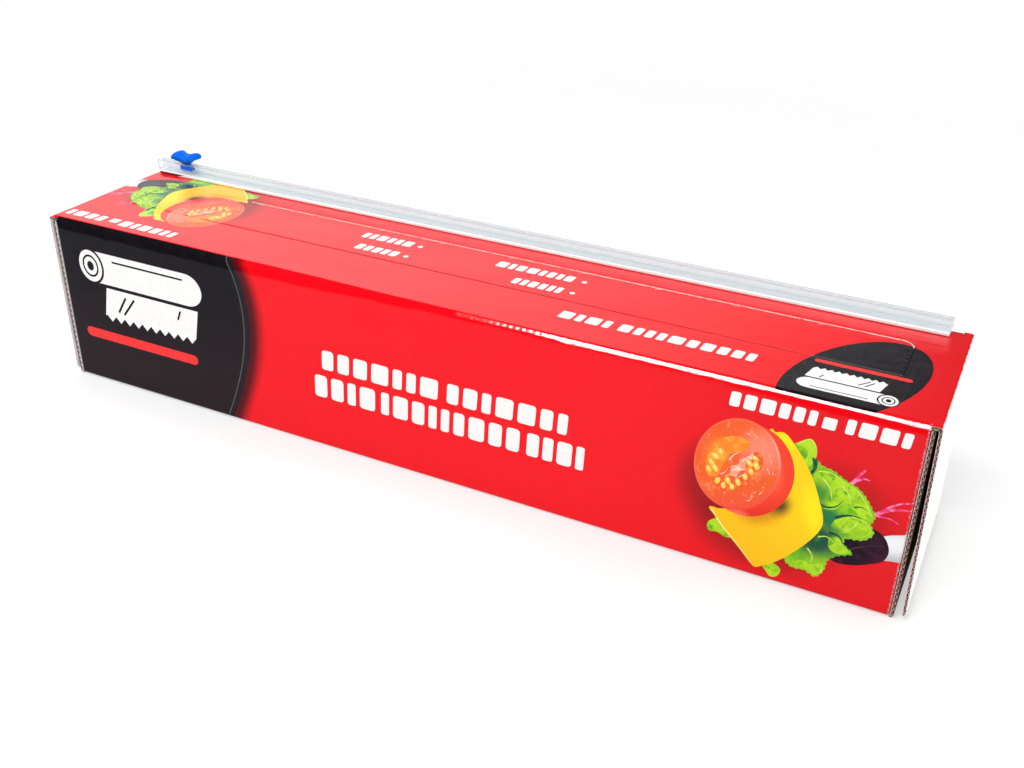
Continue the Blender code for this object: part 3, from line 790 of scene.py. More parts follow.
TOMATO_CORE = [(-4.6, -7.2), (-2.4, -4.6), (-2.2, -1.2), (0.6, 0.6), (1.4, 3.6), (4.4, 5.4),
               (6.2, 8.2), (6.0, 4.4), (3.8, 2.2), (4.0, -1.2), (1.6, -2.6), (0.4, -5.8),
               (-2.2, -6.0)]
CORE_GLOSS = (
    (0.9, ((-1.6, -3.4), (0.2, -1.4), (1.6, 1.2))),
    (0.8, ((2.2, 2.6), (3.6, 4.6), (4.8, 6.4))),
    (0.7, ((-3.4, 1.6), (-1.8, 4.6), (1.0, 7.0))),
    (0.5, ((1.6, -5.6), (3.4, -3.8), (4.4, -1.6))),
    (0.5, ((-6.6, -6.6), (-4.6, -5.0), (-3.6, -2.6))))
# x, y, turn in degrees
SEEDS = ((-11.8, -5.6, 25), (-11.0, -1.6, 40), (-9.6, 1.8, 60), (-7.4, 4.6, 10),
         (-9.2, -4.2, 30), (-7.4, -10.2, -20), (-4.6, -11.8, -5), (-2.8, -8.8, 20),
         (-0.8, -11.4, 10), (1.6, -8.2, 20), (4.2, -4.6, 10), (6.6, -1.4, 15),
         (5.4, 2.6, 40), (8.4, 2.2, 20), (7.6, 5.6, 60))


def tomato(art):
    """Halved tomato: skin, rim, flesh, two gel pockets, core and seeds."""
    art.put("skin", ellipse(5.0, -1.4, 19.7, 23.4, -10, 72))
    art.put("rim", ellipse(0, 0, 18.6, 23.3, TOMATO_TURN, 72))
    art.put("flesh", ellipse(-0.2, 0.2, *FLESH_RADII, TOMATO_TURN, 64))
    art.blob("gel", GEL)
    art.blob("gel_deep", GEL_DEEP)
    art.blob("core", TOMATO_CORE)
    art.brush("gloss", 0.15, CORE_GLOSS)
    rng = random.Random(7)
    for x, y, turn in SEEDS:
        size = 0.9 + 0.3 * rng.random()
        art.put("seed", ellipse(x, y, 1.15 * size, 1.85 * size, turn, 20))
        art.put("seed_light", ellipse(x - 0.25, y + 0.35, 0.5 * size, 1.0 * size, turn, 14))
    cosine, sine = cos(radians(TOMATO_TURN)), sin(radians(TOMATO_TURN))
    # short glints near the flesh's edge
    for _ in range(14):
        angle = radians(-60 + 150 * rng.random())
        share = 0.74 + 0.17 * rng.random()
        x = FLESH_RADII[0] * share * cos(angle)
        y = FLESH_RADII[1] * share * sin(angle)
        end_x = x - sin(angle) * (0.9 + rng.random())
        end_y = y + cos(angle) * (0.9 + rng.random())
        art.put("gloss", stroke([(x * cosine - y * sine, x * sine + y * cosine),
                                 (end_x * cosine - end_y * sine,
                                  end_x * sine + end_y * cosine)],
                                0.28 + 0.2 * rng.random(), 0.4))


def salad(place, inks):
    """The serving picture: halved tomato, cheese slice, lettuce, dark leaf,
    fork handle running off its right side, and red sprigs."""
    art = Drawing(place, inks)
    art.put("fork", FORK)
    art.brush("sprig", 0.35, SPRIGS)
    art.blob("purple", DARK_LEAF, 5)
    art.brush("purple_vein", 0.2, [DARK_LEAF_VEIN])
    # a broad leaf in deep shade, bright lobes over it
    art.put("leaf", frill(spline(LETTUCE, 2, closed=True), depth=0.42, length=2.6, seed=19))
    for lobe in LETTUCE_LOBES:
        art.blob("leaf_light", lobe)
    art.brush("leaf_dark", 0.15, LETTUCE_SHADOWS)
    art.brush("vein", 0.2, LETTUCE_VEINS)
    for bit in LETTUCE_BITS:
        art.blob("leaf_light", bit)
    art.blob("cheese", CHEESE)
    art.brush("cheese_edge", 0.3, [CHEESE_EDGE])
    tomato(art)
    return art.regions


def film_mark(place, inks):
    """Pictogram of a film roll with a sheet pulled down to a toothed edge,
    in a 94 x 41 mm cell."""
    art = Drawing(place, inks)
    teeth = [(86.0, 20.4), (82.6, 3.6)]
    x = 82.6
    tooth = 0
    while x > 22.0:
        x -= 3.1
        teeth.append((x, 0.2 if tooth % 2 == 0 else 3.6))
        tooth += 1
    art.put("ink_white", teeth + [(19.4, 3.2), (23.2, 20.4)])
    art.put("ink_white", [(14, 22.4), (80, 22.4)]
            + [(80 + 10 * cos(radians(a)), 31.6 + 9.2 * sin(radians(a)))
               for a in range(-80, 90, 10)]
            + [(80, 40.8), (14, 40.8)])
    # end of the roll: ink, radii and point count of each disc
    for key, radius_x, radius_y, count in (
            ("ink_black", 9.4, 10.6, 48), ("ink_white", 8.0, 9.2, 48),
            ("ink_black", 5.6, 6.5, 40), ("ink_white", 4.5, 5.3, 40),
            ("ink_black", 2.3, 2.8, 28)):
        art.put(key, ellipse(14, 31.6, radius_x, radius_y, 0, count))
    for width, line in ((1.1, [(30, 36.8), (78, 36.8)]), (1.3, [(36, 17.0), (29.6, 7.0)]),
                        (1.3, [(42, 17.0), (33.4, 6.4)]), (1.2, [(74, 18.0), (71.6, 12.4)])):
        art.put("ink_black", stroke(line, width))
    return art.regions


# ------------------------------------------------------------- mesh building
def mm_point(*point):
    return Vector(point) * MM


def set_smooth(mesh, angle):
    mesh.shade_smooth()
    mesh.set_sharp_from_angle(angle=radians(angle))


def link_object(name, mesh):
    obj = bpy.data.objects.new(name, mesh)
    bpy.context.scene.collection.objects.link(obj)
    return obj


def mesh_object(name, verts, faces, materials, face_slots=None, smooth_angle=40):
    mesh = bpy.data.meshes.new(name)
    mesh.from_pydata([tuple(v) for v in verts], [], faces)
    for material in materials:
        mesh.materials.append(material)
    if face_slots:
        mesh.polygons.foreach_set("material_index", face_slots)
    mesh.update()
    bm = bmesh.new()
    bm.from_mesh(mesh)
    bmesh.ops.recalc_face_normals(bm, faces=bm.faces)
    bm.to_mesh(mesh)
    bm.free()
    set_smooth(mesh, smooth_angle)
    return link_object(name, mesh)


def loft_faces(rings, sides):
    """Walls between rings of points, then the first and last end caps."""
    faces = []
    for j in range(rings - 1):
        for i in range(sides):
            k = (i + 1) % sides
            faces.append([j * sides + i, j * sides + k, (j + 1) * sides + k,
                          (j + 1) * sides + i])
    faces.append(list(range(sides - 1, -1, -1)))
    faces.append([(rings - 1) * sides + i for i in range(sides)])
    return faces


def attach(obj, body, slot, *replaced):
    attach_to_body(obj, body)
    if replaced:
        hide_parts(*replaced)


def triangulate(outline, holes, regions, guides):
    """Flat points and faces that follow every outline and guide line."""
    verts, edges, seen = [], [], {}

    def vert(point):
        key = (round(point[0], 4), round(point[1], 4))
        if key not in seen:
            seen[key] = len(verts)
            verts.append(Vector(key))
        return seen[key]

    for poly in [outline, *holes, *(region.poly for region in regions)]:
        ids = [vert(p) for p in poly]
        edges.extend((a, b) for a, b in zip(ids, ids[1:] + ids[:1]) if a != b)
    for start, end in guides:
        edges.append((vert(start), vert(end)))
    points, _, faces, *_ = delaunay_2d_cdt(verts, edges, [], 0, 1e-5)
    return points, faces


def sheet(name, outline, regions, base, place, holes=(), guides=(), thick=BOARD,
          rim=rim_plain, rim_for=None):
    """A printed board: outline, holes and coloured regions are drawn flat in
    mm, triangulated together, then place(x, y, depth) puts every point on
    the folded surface (depth 0 outside, `thick` inside).  rim_for(start, end)
    may choose another rim material for a cut edge."""
    points, triangles = triangulate(outline, holes, regions, guides)
    kept = []
    for face in triangles:
        x = sum(points[i].x for i in face) / len(face)
        y = sum(points[i].y for i in face) / len(face)
        area = 0.0
        for i, j in zip(face, [*face[1:], face[0]]):
            area += points[i].x * points[j].y - points[j].x * points[i].y
        if abs(area) < 1e-7:
            continue
        if not inside(outline, x, y) or any(inside(hole, x, y) for hole in holes):
            continue
        material = next((r.material for r in reversed(regions) if r.has(x, y)), base)
        kept.append((tuple(face) if area > 0 else tuple(reversed(face)), material))
    used = sorted({i for face, _ in kept for i in face})
    index = {old: new for new, old in enumerate(used)}
    flat = [(points[i].x, points[i].y) for i in used]
    count = len(used)
    verts = [mm_point(*place(x, y, depth)) for depth in (0.0, thick) for x, y in flat]
    slots, faces, face_slots = [], [], []

    def add_face(face, material):
        if material not in slots:
            slots.append(material)
        faces.append(face)
        face_slots.append(slots.index(material))

    half_edges = {}
    for face, material in kept:
        outer = [index[i] for i in face]
        add_face(outer, material)
        add_face([i + count for i in reversed(outer)], kraft)
        for edge in zip(outer, outer[1:] + outer[:1]):
            half_edges[edge] = True
    for a, b in half_edges:
        if (b, a) not in half_edges:
            special = rim_for(flat[a], flat[b]) if rim_for else None
            add_face([b, a, a + count, b + count], special or rim)

    mesh = bpy.data.meshes.new(name)
    mesh.from_pydata([tuple(v) for v in verts], [], faces)
    mesh.validate()
    for material in slots:
        mesh.materials.append(material)
    # the slot list only fits while validate() has dropped no face
    if len(mesh.polygons) == len(face_slots):
        mesh.polygons.foreach_set("material_index", face_slots)
    mesh.update()
    obj = link_object(name, mesh)
    set_smooth(mesh, 24)
    # the printed side must face out
    bm = bmesh.new()
    bm.from_mesh(mesh)
    if bm.calc_volume(signed=True) < 0:
        bmesh.ops.reverse_faces(bm, faces=bm.faces)
        bm.to_mesh(mesh)
    bm.free()
    return obj


# ------------------------------------------------------------------ long folds
# two tight bends with a flattened facet between
BEND_SHARE = 0.26                    # share of the fold taken by each bend
BEND_TURN = 41.0                     # degrees turned in each bend
FOLD_STEPS = 400


def fold_angle(share):
    """Direction of the outer liner, 0 on the wall and 90 degrees on the top."""
    if share < BEND_SHARE:
        return radians(BEND_TURN * share / BEND_SHARE)
    if share > 1 - BEND_SHARE:
        return radians(90.0 - BEND_TURN * (1 - share) / BEND_SHARE)
    return radians(BEND_TURN + (90 - 2 * BEND_TURN) * (share - BEND_SHARE)
                   / (1 - 2 * BEND_SHARE))


def fold_table():
    """Inward distance and height at each step, and the fold's flat length."""
    rows = [(0.0, 0.0)]
    y = z = 0.0
    for k in range(FOLD_STEPS):
        angle = fold_angle((k + 0.5) / FOLD_STEPS)
        y += sin(angle) / FOLD_STEPS
        z += cos(angle) / FOLD_STEPS
        rows.append((y, z))
    return [(FOLD_R * inward / y, FOLD_R * rise / z) for inward, rise in rows], FOLD_R / y


FOLD_ROWS, FOLD_LEN = fold_table()
FOLD_END = FOLD_Z + FOLD_LEN         # flat coordinate where the top fold ends
SHEET_LOW = FOLD_R - FOLD_LEN - LAP  # flat coordinates of the sheet's ends
SHEET_HIGH = FOLD_Z + FOLD_LEN + LAP


def fold_point(share):
    """Inward distance, height and direction of the outer liner."""
    k = min(int(share * FOLD_STEPS), FOLD_STEPS - 1)
    part = share * FOLD_STEPS - k
    (y0, z0), (y1, z1) = FOLD_ROWS[k], FOLD_ROWS[k + 1]
    return y0 + (y1 - y0) * part, z0 + (z1 - z0) * part, fold_angle(share)


def fold_dent(share, x):
    """The liner is pressed in between the flutes along the fold."""
    rim = sin(pi * share) * (0.35 + 0.65 * abs(cos(pi * share)))
    return rim * (0.045 * sin(2 * pi * x / FLUTE)
                  + 0.05 * sin(x / 3.7 + 1.6 * sin(x / 19.0))
                  + 0.06 * sin(x / 17.0 + 2.0))


# ------------------------------------------------------- front and rear walls
def wall_place(side):
    """side -1: front wall, +1: rear wall.  Flat coordinates run to the right
    as seen from outside, and up the wall."""
    def place(across, along, depth):
        x = across if side < 0 else -across
        if along > FOLD_Z:
            share = min((along - FOLD_Z) / FOLD_LEN, 1.0)
            if depth == 0.0:
                inward, rise, angle = fold_point(share)
                dent = fold_dent(share, x)
                y = REAR_Y - inward - dent * cos(angle)
                z = FOLD_Z + rise - dent * sin(angle)
            else:
                angle = pi / 2 * share
                y = REAR_Y - FOLD_R + (FOLD_R - depth) * cos(angle)
                z = FOLD_Z + (FOLD_R - depth) * sin(angle)
            y -= max(along - FOLD_Z - FOLD_LEN, 0.0)
            return (x, side * y, z)
        if along < FOLD_R:
            angle = pi / 2 * min((FOLD_R - along) / FOLD_LEN, 1.0)
            y = REAR_Y - FOLD_R + (FOLD_R - depth) * cos(angle)
            z = FOLD_R - (FOLD_R - depth) * sin(angle)
            y -= max(FOLD_R - along - FOLD_LEN, 0.0)
            return (x, side * y, z)
        reach = abs(x)
        if reach > CREASE_X + CREASE_LEN:
            end_x = CREASE_X + CREASE_R - depth
            inward = CREASE_R + (reach - CREASE_X - CREASE_LEN)
        elif reach > CREASE_X:
            angle = (reach - CREASE_X) / CREASE_R
            end_x = CREASE_X + (CREASE_R - depth) * sin(angle)
            inward = CREASE_R - (CREASE_R - depth) * cos(angle)
        else:
            end_x, inward = reach, depth
        return (end_x if x >= 0 else -end_x, side * (REAR_Y - inward), along)
    return place


def wall_outline():
    neck = CREASE_X + 0.2
    tip = CREASE_X + CREASE_LEN + DUST - CREASE_R
    right = [(WALL_EDGE, SHEET_LOW), (WALL_EDGE, DUST_Z0 - 0.35), (neck, DUST_Z0),
             (tip, DUST_Z0 + 2.6), (tip, DUST_Z0 + 3), (tip, DUST_Z1 - 3),
             (tip - 2.0, DUST_Z1 - 1.0), (neck, DUST_Z1), (WALL_EDGE, DUST_Z1 + 0.35),
             (WALL_EDGE, SHEET_HIGH)]
    left = [(-x, y) for x, y in reversed(right)]
    return left[-1:] + right + left[:-1]


def wall_guides():
    """Lines that give the folds and end creases points to bend at."""
    levels = [FOLD_Z + FOLD_LEN * share for share in (
        0.0, 0.065, 0.13, 0.195, 0.26, 0.38, 0.5, 0.62, 0.74, 0.805, 0.87, 0.935, 1.0)]
    levels += [FOLD_R - FOLD_LEN * k / 8 for k in range(9)]
    guides = [((-WALL_EDGE, level), (WALL_EDGE, level)) for level in levels]
    x = -CREASE_X
    while x <= CREASE_X:
        guides.append(((x, FOLD_Z), (x, FOLD_END)))
        x += FLUTE / 4
    for hand in (-1, 1):
        for k in range(7):
            x = hand * (CREASE_X + CREASE_LEN * k / 6)
            guides.append(((x, DUST_Z0 + 0.04 * k), (x, DUST_Z1 - 0.02 * k)))
    return guides


def dust_faces():
    """Unprinted part of the folded-in dust flaps."""
    near = CREASE_X + CREASE_LEN + 1.6
    far = CREASE_X + CREASE_LEN + DUST + 2
    return [Region(rect(near, -3, far, 99), plain_face),
            Region(rect(-far, -3, -near, 99), plain_face)]


def wall_art(place, inks, black, lines):
    """Black field, grey line beside its curved edge, film mark, bar, words
    and picture.  lines holds (x0, x1, y0, y1, letter pitch, slant, seed)."""
    heights = [SHEET_LOW - 1 + (SHEET_HIGH + 2 - SHEET_LOW) * k / 60 for k in range(61)]

    def arc(offset):
        points = []
        for z in heights:
            off = z - ARC_Z
            edge = -ARC_X - ARC_SQUARE * off * off - ARC_CUBE * off ** 3
            points.append((edge - offset, z))
        return points

    field = arc(1.75) + [(-236, SHEET_HIGH + 1), (-236, SHEET_LOW - 1)]
    art = Drawing(place, inks)
    art.regions.append(Region(field, black))
    art.put("ink_grey", arc(5.2) + arc(5.9)[::-1])
    art.regions += film_mark(Place(place.plane, -222.0, 39.6), inks)
    art.put("ink_bar", rounded(-219, 26.9, -140, 32.7, 2.9, 6))
    for line in lines:
        art.word(*line)
    art.regions += salad(Place(place.plane, *WALL_PICTURE), inks)
    return art.regions


WALL_PICTURE = (155.4, 54.7)         # the tomato's centre on a wall
FRONT = Place("front")
REAR = Place("rear")
# x0, x1, y0, y1, letter pitch, slant, seed
FRONT_WORDS = (
    (-58.7, 8.0, 46.2, 57.1, 9.2, 0.06, 3), (13.0, 76.0, 46.2, 57.1, 9.2, 0.06, 4),
    (-64.0, -28.0, 29.6, 42.2, 9.0, 0.04, 5), (-24.5, 52.0, 29.6, 42.2, 8.6, 0.04, 6),
    (55.8, 85.0, 29.6, 42.2, 7.4, 0.04, 7), (148.7, 185.0, 82.6, 89.6, 6.2, 0.10, 8),
    (187.5, 193.0, 82.6, 88.0, 5.5, 0.10, 9), (196.8, 222.5, 82.6, 89.6, 6.4, 0.10, 10))


def disc_points(count):
    """Black disc of the top face; it runs down onto the upper front fold."""
    points = []
    for k in range(count):
        angle = 2 * pi * k / count
        y = -21 + 41.5 * sin(angle)
        points.append((194 + 0.29 * (y + 21) + 25.2 * cos(angle), y))
    return points


def clip_above(poly, level):
    out = []
    for (x0, y0), (x1, y1) in zip(poly, poly[1:] + poly[:1]):
        if y0 >= level:
            out.append((x0, y0))
        if (y0 >= level) != (y1 >= level):
            share = (level - y0) / (y1 - y0)
            out.append((x0 + (x1 - x0) * share, level))
    return out


def top_to_wall(y):
    """Flat wall coordinate of a y on the top."""
    return FOLD_END + (y + REAR_Y - FOLD_R)


def worn_and_highlight_strip():
    """Pale strip along the upper front fold, widening from x = 58: partly cracked varnish,
    partly a painted highlight.
    """
    rng = random.Random(29)
    upper, lower = [], []
    x = 58.0
    while x < WALL_X + 1:
        grow = min(1.0, (x - 56.0) / 14.0)
        middle = 0.36 + 0.05 * sin(x / 13.0)
        drop = grow * (0.10 + 0.10 * rng.random() + (0.10 if 70 < x < 118 else 0.0))
        upper.append((x, FOLD_Z + (middle + 0.10 * grow) * FOLD_LEN))
        lower.append((x, FOLD_Z + (middle - drop) * FOLD_LEN))
        x += 1.4 + 2.6 * rng.random()
    return upper + lower[::-1]


def fold_regions(inks):
    """Shiny ink on the upper front fold with pale streaks that are partly cracked ink and partly
    painted highlight, the pale strip that is partly worn ink and partly painted highlight, and
    the disc's lower end.
    """
    # pale streaks in the shiny red: partly cracked ink, partly painted highlight
    red = ink("fold_red", FRONT, RED, (
        ("noise", 0.9, (0.93, 0.30, 0.28), 0.60, 0.72, 0.8, (0.25, 1.0)),),
        rough=0.16, wear=False, fold=True)
    # pale strip: partly worn ink, partly a painted highlight along the fold
    worn = ink("fold_worn_and_highlight", FRONT, (0.90, 0.80, 0.80), (
        ("noise", 1.1, (0.90, 0.22, 0.22), 0.56, 0.62, 0.9, (0.3, 1.2)),),
        rough=0.35, wear=False, fold=True)
    disc = clip_above([(x, top_to_wall(y)) for x, y in disc_points(180)], top_to_wall(-45.6))
    return [Region(rect(18, FOLD_Z + 0.22 * FOLD_LEN, WALL_X + 1,
                        FOLD_Z + 0.78 * FOLD_LEN), red),
            Region(worn_and_highlight_strip(), worn),
            Region([(x, min(y, SHEET_HIGH + 0.5)) for x, y in disc], inks["ink_black"])]


# slow drift of the red on the faces away from the front
RED_DRIFT = (("noise", 0.02, (0.80, 0.010, 0.018), 0.4, 0.6, 0.5),)


def build_front():
    inks = ink_set(Place("front", *WALL_PICTURE), "front")
    red = shaded_red("front_red", FRONT, (
        (151.0, 43.0, 27.0, 30.0, 1.0, 0.45, 0.75),
        (170.0, 22.0, 40.0, 22.0, 1.0, 0.40, 0.70),
        (196.0, 44.0, 34.0, 30.0, 1.0, 0.50, 0.45)),
        dim_span=(70.0, 215.0), dim=0.86, arc=True)
    regions = wall_art(FRONT, inks, front_black(), FRONT_WORDS)
    regions += fold_regions(inks) + dust_faces()
    wall = sheet("front_wall", wall_outline(), regions, red, wall_place(-1),
                 guides=wall_guides())
    attach(wall, "carton", "printed_board", "front_panel", "left_front_dust_flap",
           "right_front_dust_flap")


def build_rear():
    inks = ink_set(Place("rear", *WALL_PICTURE), "rear")
    red = ink("rear_red", REAR, RED, RED_DRIFT)
    lines = text_rows(x0=-74.0, top=71, row_step=11.5, height=5.2,
                      widths=(26, 15, 31, 20, 12, 28), gap=3.2, pitch=4.2, seed=20)
    regions = wall_art(REAR, inks, inks["ink_black"], lines) + dust_faces()
    wall = sheet("rear_wall", wall_outline(), regions, red, wall_place(1),
                 guides=wall_guides())
    attach(wall, "carton", "printed_board", "rear_panel", "left_rear_dust_flap",
           "right_rear_dust_flap")


build_front()
build_rear()

# ------------------------------------------------------------------------ top
TOP = Place("top")
TOP_PICTURE = Place("top", -162.5, -2.0, 180, 0.97)
top_inks = ink_set(TOP_PICTURE, "top")
top_red = shaded_red("top_red", TOP, (
    (-158.0, 9.0, 26.0, 29.0, 1.0, 0.45, 0.75),
    (-177.0, 30.0, 38.0, 22.0, 1.0, 0.40, 0.70),
    (-201.0, 9.0, 32.0, 30.0, 1.0, 0.50, 0.45)),
    dim_span=(175.0, 231.0), dim=0.80)
# x0, x1, y0, y1, letter pitch, seed, in a drawing turned half round
TOP_WORDS = (
    (-85.8, -60.8, 20.2, 27.5, 6.2, 31), (-152.5, -90.0, 20.2, 27.5, 6.4, 32),
    (-51.0, -25.0, -2.6, 4.0, 4.6, 33), (-50.8, -9.3, -17.2, -10.6, 4.9, 34),
    (40.5, 65.0, -2.6, 4.0, 4.6, 35), (40.5, 70.0, -17.2, -10.6, 4.9, 36),
    (155.5, 191.8, 31.8, 38.6, 6.2, 37), (194.3, 199.8, 31.8, 36.9, 5.5, 38),
    (203.6, 229.0, 31.8, 38.6, 6.4, 39))


def top_art():
    art = Drawing(TOP, top_inks)
    art.put("ink_black", disc_points(72))
    art.regions += film_mark(Place("top", 216.6, -18.6, 180, 0.49), top_inks)
    art.put("ink_bar", rounded(175, -14.3, 215.7, -11.3, 1.45, 6))
    words = Drawing(Place("top", turn=180), top_inks)
    for x0, x1, y0, y1, pitch, seed in TOP_WORDS:
        words.word(x0, x1, y0, y1, pitch, 0.06, seed)
    art.regions += words.regions
    for x, y in ((56.3, 13.6), (56.3, -0.8), (-35.8, 13.6), (-35.8, -0.8)):
        art.put("ink_white", ellipse(x, y, 1.35, 1.35, 0, 24))
    return art.regions + salad(TOP_PICTURE, top_inks)


def access_outline(grow, front, rear):
    """Window or flap outline, rear corners rounded."""
    side = ACCESS_X + grow
    radius = 6.0 + grow
    points = [(-side, front), (side, front)]
    for centre, start in ((side - radius, 0), (-side + radius, 90)):
        for k in range(9):
            angle = radians(start + 90 * k / 8)
            points.append((centre + radius * cos(angle), rear - radius + radius * sin(angle)))
    return points


def panel_outline(reach, first=0):
    """Top or base between the walls' laps, with an ear out to `reach` at each
    end; the outline starts from corner number `first`."""
    points = []
    for hand in (1, -1):
        points += [(-hand * reach, -hand * FLAP_Y), (-hand * WALL_EDGE, -hand * FLAP_Y),
                   (-hand * WALL_EDGE, -hand * FLAT_Y), (hand * WALL_EDGE, -hand * FLAT_Y),
                   (hand * WALL_EDGE, -hand * FLAP_Y), (hand * reach, -hand * FLAP_Y)]
    return points[first:] + points[:first]


def flat_top(x, y, depth):
    return (x, y, TOP_Z - depth)


def window_rim(start, end):
    """Waves show on edges along X; the end edges take the near-black board, painted shade."""
    if abs(start[1] - end[1]) < 0.3 * abs(start[0] - end[0]):
        return wave_edge
    if abs(start[0]) > 205:
        return rim_painted_shade
    return None


def slit(x, y, turn, length, width=0.3):
    cosine, sine = cos(radians(turn)), sin(radians(turn))
    off_x, off_y = -sine * width / 2, cosine * width / 2
    run, rise = cosine * length, sine * length
    return [(x + off_x, y + off_y), (x - off_x, y - off_y),
            (x - off_x + run, y - off_y + rise), (x + off_x + run, y + off_y + rise)]


def access_slits():
    """Short slits just inside the flap's rear, right and left edges."""
    slits = [slit(x, ACCESS_REAR - 1.0, 205, 3.6) for x in (
        -180, -142, -103, -64.3, -26.3, 13.8, 52.5, 92.5, 131.3, 171)]
    for x, turn in ((ACCESS_X - 1.0, 105), (-ACCESS_X + 1.0, 75)):
        slits += [slit(x, y, turn, 2.2, 0.45) for y in (-6.0, -1.8, 2.4, 6.6, 10.8, 15.0)]
    return slits


def worn_cut():
    """Worn ink along the flap's rear edge and round its right rear corner."""
    worn = ink("cut_line_worn", TOP, (0.90, 0.62, 0.60), (
        ("noise", 1.3, (0.86, 0.10, 0.10), 0.52, 0.60, 0.9, (0.35, 1.0)),),
        rough=0.5, wear=False)
    rng = random.Random(17)
    xs = [-152.0 + k * (ACCESS_X - 5.0 + 152.0) / 140 for k in range(141)]
    line = ([(x, ACCESS_REAR - KERF + 0.5) for x in xs]
            + [(x, ACCESS_REAR - KERF - 0.55 - 0.35 * rng.random()) for x in reversed(xs)])
    corner = []
    for radius_x, radius_y, steps in ((6.4, 6.4, range(9)), (5.2, 5.0, range(8, -1, -1))):
        for k in steps:
            angle = radians(90 * k / 8)
            corner.append((ACCESS_X - 6 + radius_x * cos(angle),
                           ACCESS_REAR - 6 + radius_y * sin(angle)))
    return [Region(line, worn), Region(corner, worn)]


def groove_place(x, y, depth):
    """Access crease pressed in as an uneven groove."""
    groove = 0.30 * max(0.0, 1 - abs(y - ACCESS_Y) / 0.7) ** 0.8
    wobble = 0.05 * sin(x / 5.1) + 0.04 * sin(x / 1.7 + 1)
    return (x, y, TOP_Z - groove * (1 + wobble) - depth)


def build_crease(art):
    """Strip between the top and the access flap."""
    half = ACCESS_X - KERF
    guides = [((-half, ACCESS_Y + off), (half, ACCESS_Y + off))
              for off in (-0.7, -0.45, -0.22, 0.0, 0.22, 0.45, 0.7)]
    for k in range(1, 80):
        x = -half + 2 * half * k / 80
        guides.append(((x, ACCESS_Y - 0.7), (x, ACCESS_Y + 0.7)))
    # dark red line along the crease groove: painted shade
    line = ink("crease_painted_shade", TOP, (0.30, 0.001, 0.002), (
        ("noise", 0.5, (0.62, 0.003, 0.006), 0.50, 0.66, 0.8, (0.3, 1.0)),),
        rough=0.5, coat=0.0, wear=False, extra={"Specular IOR Level": 0.15})
    regions = art + [Region(rect(-158, ACCESS_Y - 0.34, 172, ACCESS_Y + 0.34), line)]
    crease = sheet("access_crease",
                   rect(-half, ACCESS_Y - ACCESS_CREASE, half, ACCESS_Y + ACCESS_CREASE),
                   regions, top_red, groove_place, guides=guides, thick=0.35)
    (ACCESS_Y - 0.8) * MM
    (ACCESS_Y + 0.8) * MM
    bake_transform(crease)


def build_top():
    art = top_art()
    window = access_outline(KERF, ACCESS_Y - ACCESS_CREASE, ACCESS_REAR + KERF)
    top = sheet("top_sheet", panel_outline(END_X), art, top_red, flat_top, holes=[window],
                rim_for=window_rim)
    attach(top, "carton", "printed_board", "top_panel")
    flap = access_outline(-KERF, ACCESS_Y + ACCESS_CREASE, ACCESS_REAR - KERF)
    access = sheet("access_sheet", flap, art + worn_cut(), top_red, flat_top,
                   holes=access_slits(), rim=rim_white, rim_for=window_rim)
    attach(access, "access", "printed_board", "access_flap")
    build_crease(art)


build_top()


# ----------------------------------------------------------------------- base
def build_base():
    # the inks' soft shading is centred off the panel
    art = Drawing(Place("base"), ink_set(Place("base", 900.0, 0.0), "base"))
    red = ink("base_red", art.place, RED, RED_DRIFT)
    art.put("ink_white", rounded(-200, -26, -70, 26, 3, 6))
    for line in text_rows(x0=-192.0, top=15, row_step=8.5, height=3.4,
                          widths=(22, 14, 30, 18, 21), gap=2.4, pitch=3.2, seed=60):
        art.word(*line, key="ink_black")
    art.word(40, 92, -6, 4, pitch=8.4, slant=0.06, seed=80)
    art.word(98, 160, -6, 4, pitch=8.4, slant=0.06, seed=81)
    base = sheet("base_sheet", panel_outline(BASE_X, first=2), art.regions, red,
                 lambda x, y, depth: (x, -y, depth))
    attach(base, "carton", "printed_board", "bottom_panel")


build_base()

# ------------------------------------------------------------ fluted end flaps
LINER = 0.22                         # paper thickness of the liners
MEDIUM_HALF = 0.075                  # half thickness of the wavy paper
PATH_STEP = 0.3


def add_layer(upper, lower, y0, y1, slot, verts, faces, slots):
    """One paper layer as a closed strip between two curves in x and z."""
    for y in (y0, y1):
        for curve in (upper, lower):
            verts += [mm_point(x, y, z) for x, z in curve]
    count = len(upper)
    upper0, lower0, upper1, lower1 = (len(verts) - count * k for k in (4, 3, 2, 1))
    for i in range(count - 1):
        faces.append([upper0 + i, upper0 + i + 1, lower0 + i + 1, lower0 + i])
        faces.append([upper1 + i, lower1 + i, lower1 + i + 1, upper1 + i + 1])
        faces.append([upper0 + i, upper1 + i, upper1 + i + 1, upper0 + i + 1])
        faces.append([lower0 + i, lower0 + i + 1, lower1 + i + 1, lower1 + i])
    end = count - 1
    faces.append([upper0, lower0, lower1, upper1])
    faces.append([upper0 + end, upper1 + end, lower1 + end, lower0 + end])
    slots += [slot] * (4 * end + 2)


def tilt(x, z, angle):
    """Turn a point about the outer flap's hinge line."""
    x, z = cos(angle) * x - sin(angle) * z, sin(angle) * x + cos(angle) * z
    return HINGE_X + x, TOP_Z + z


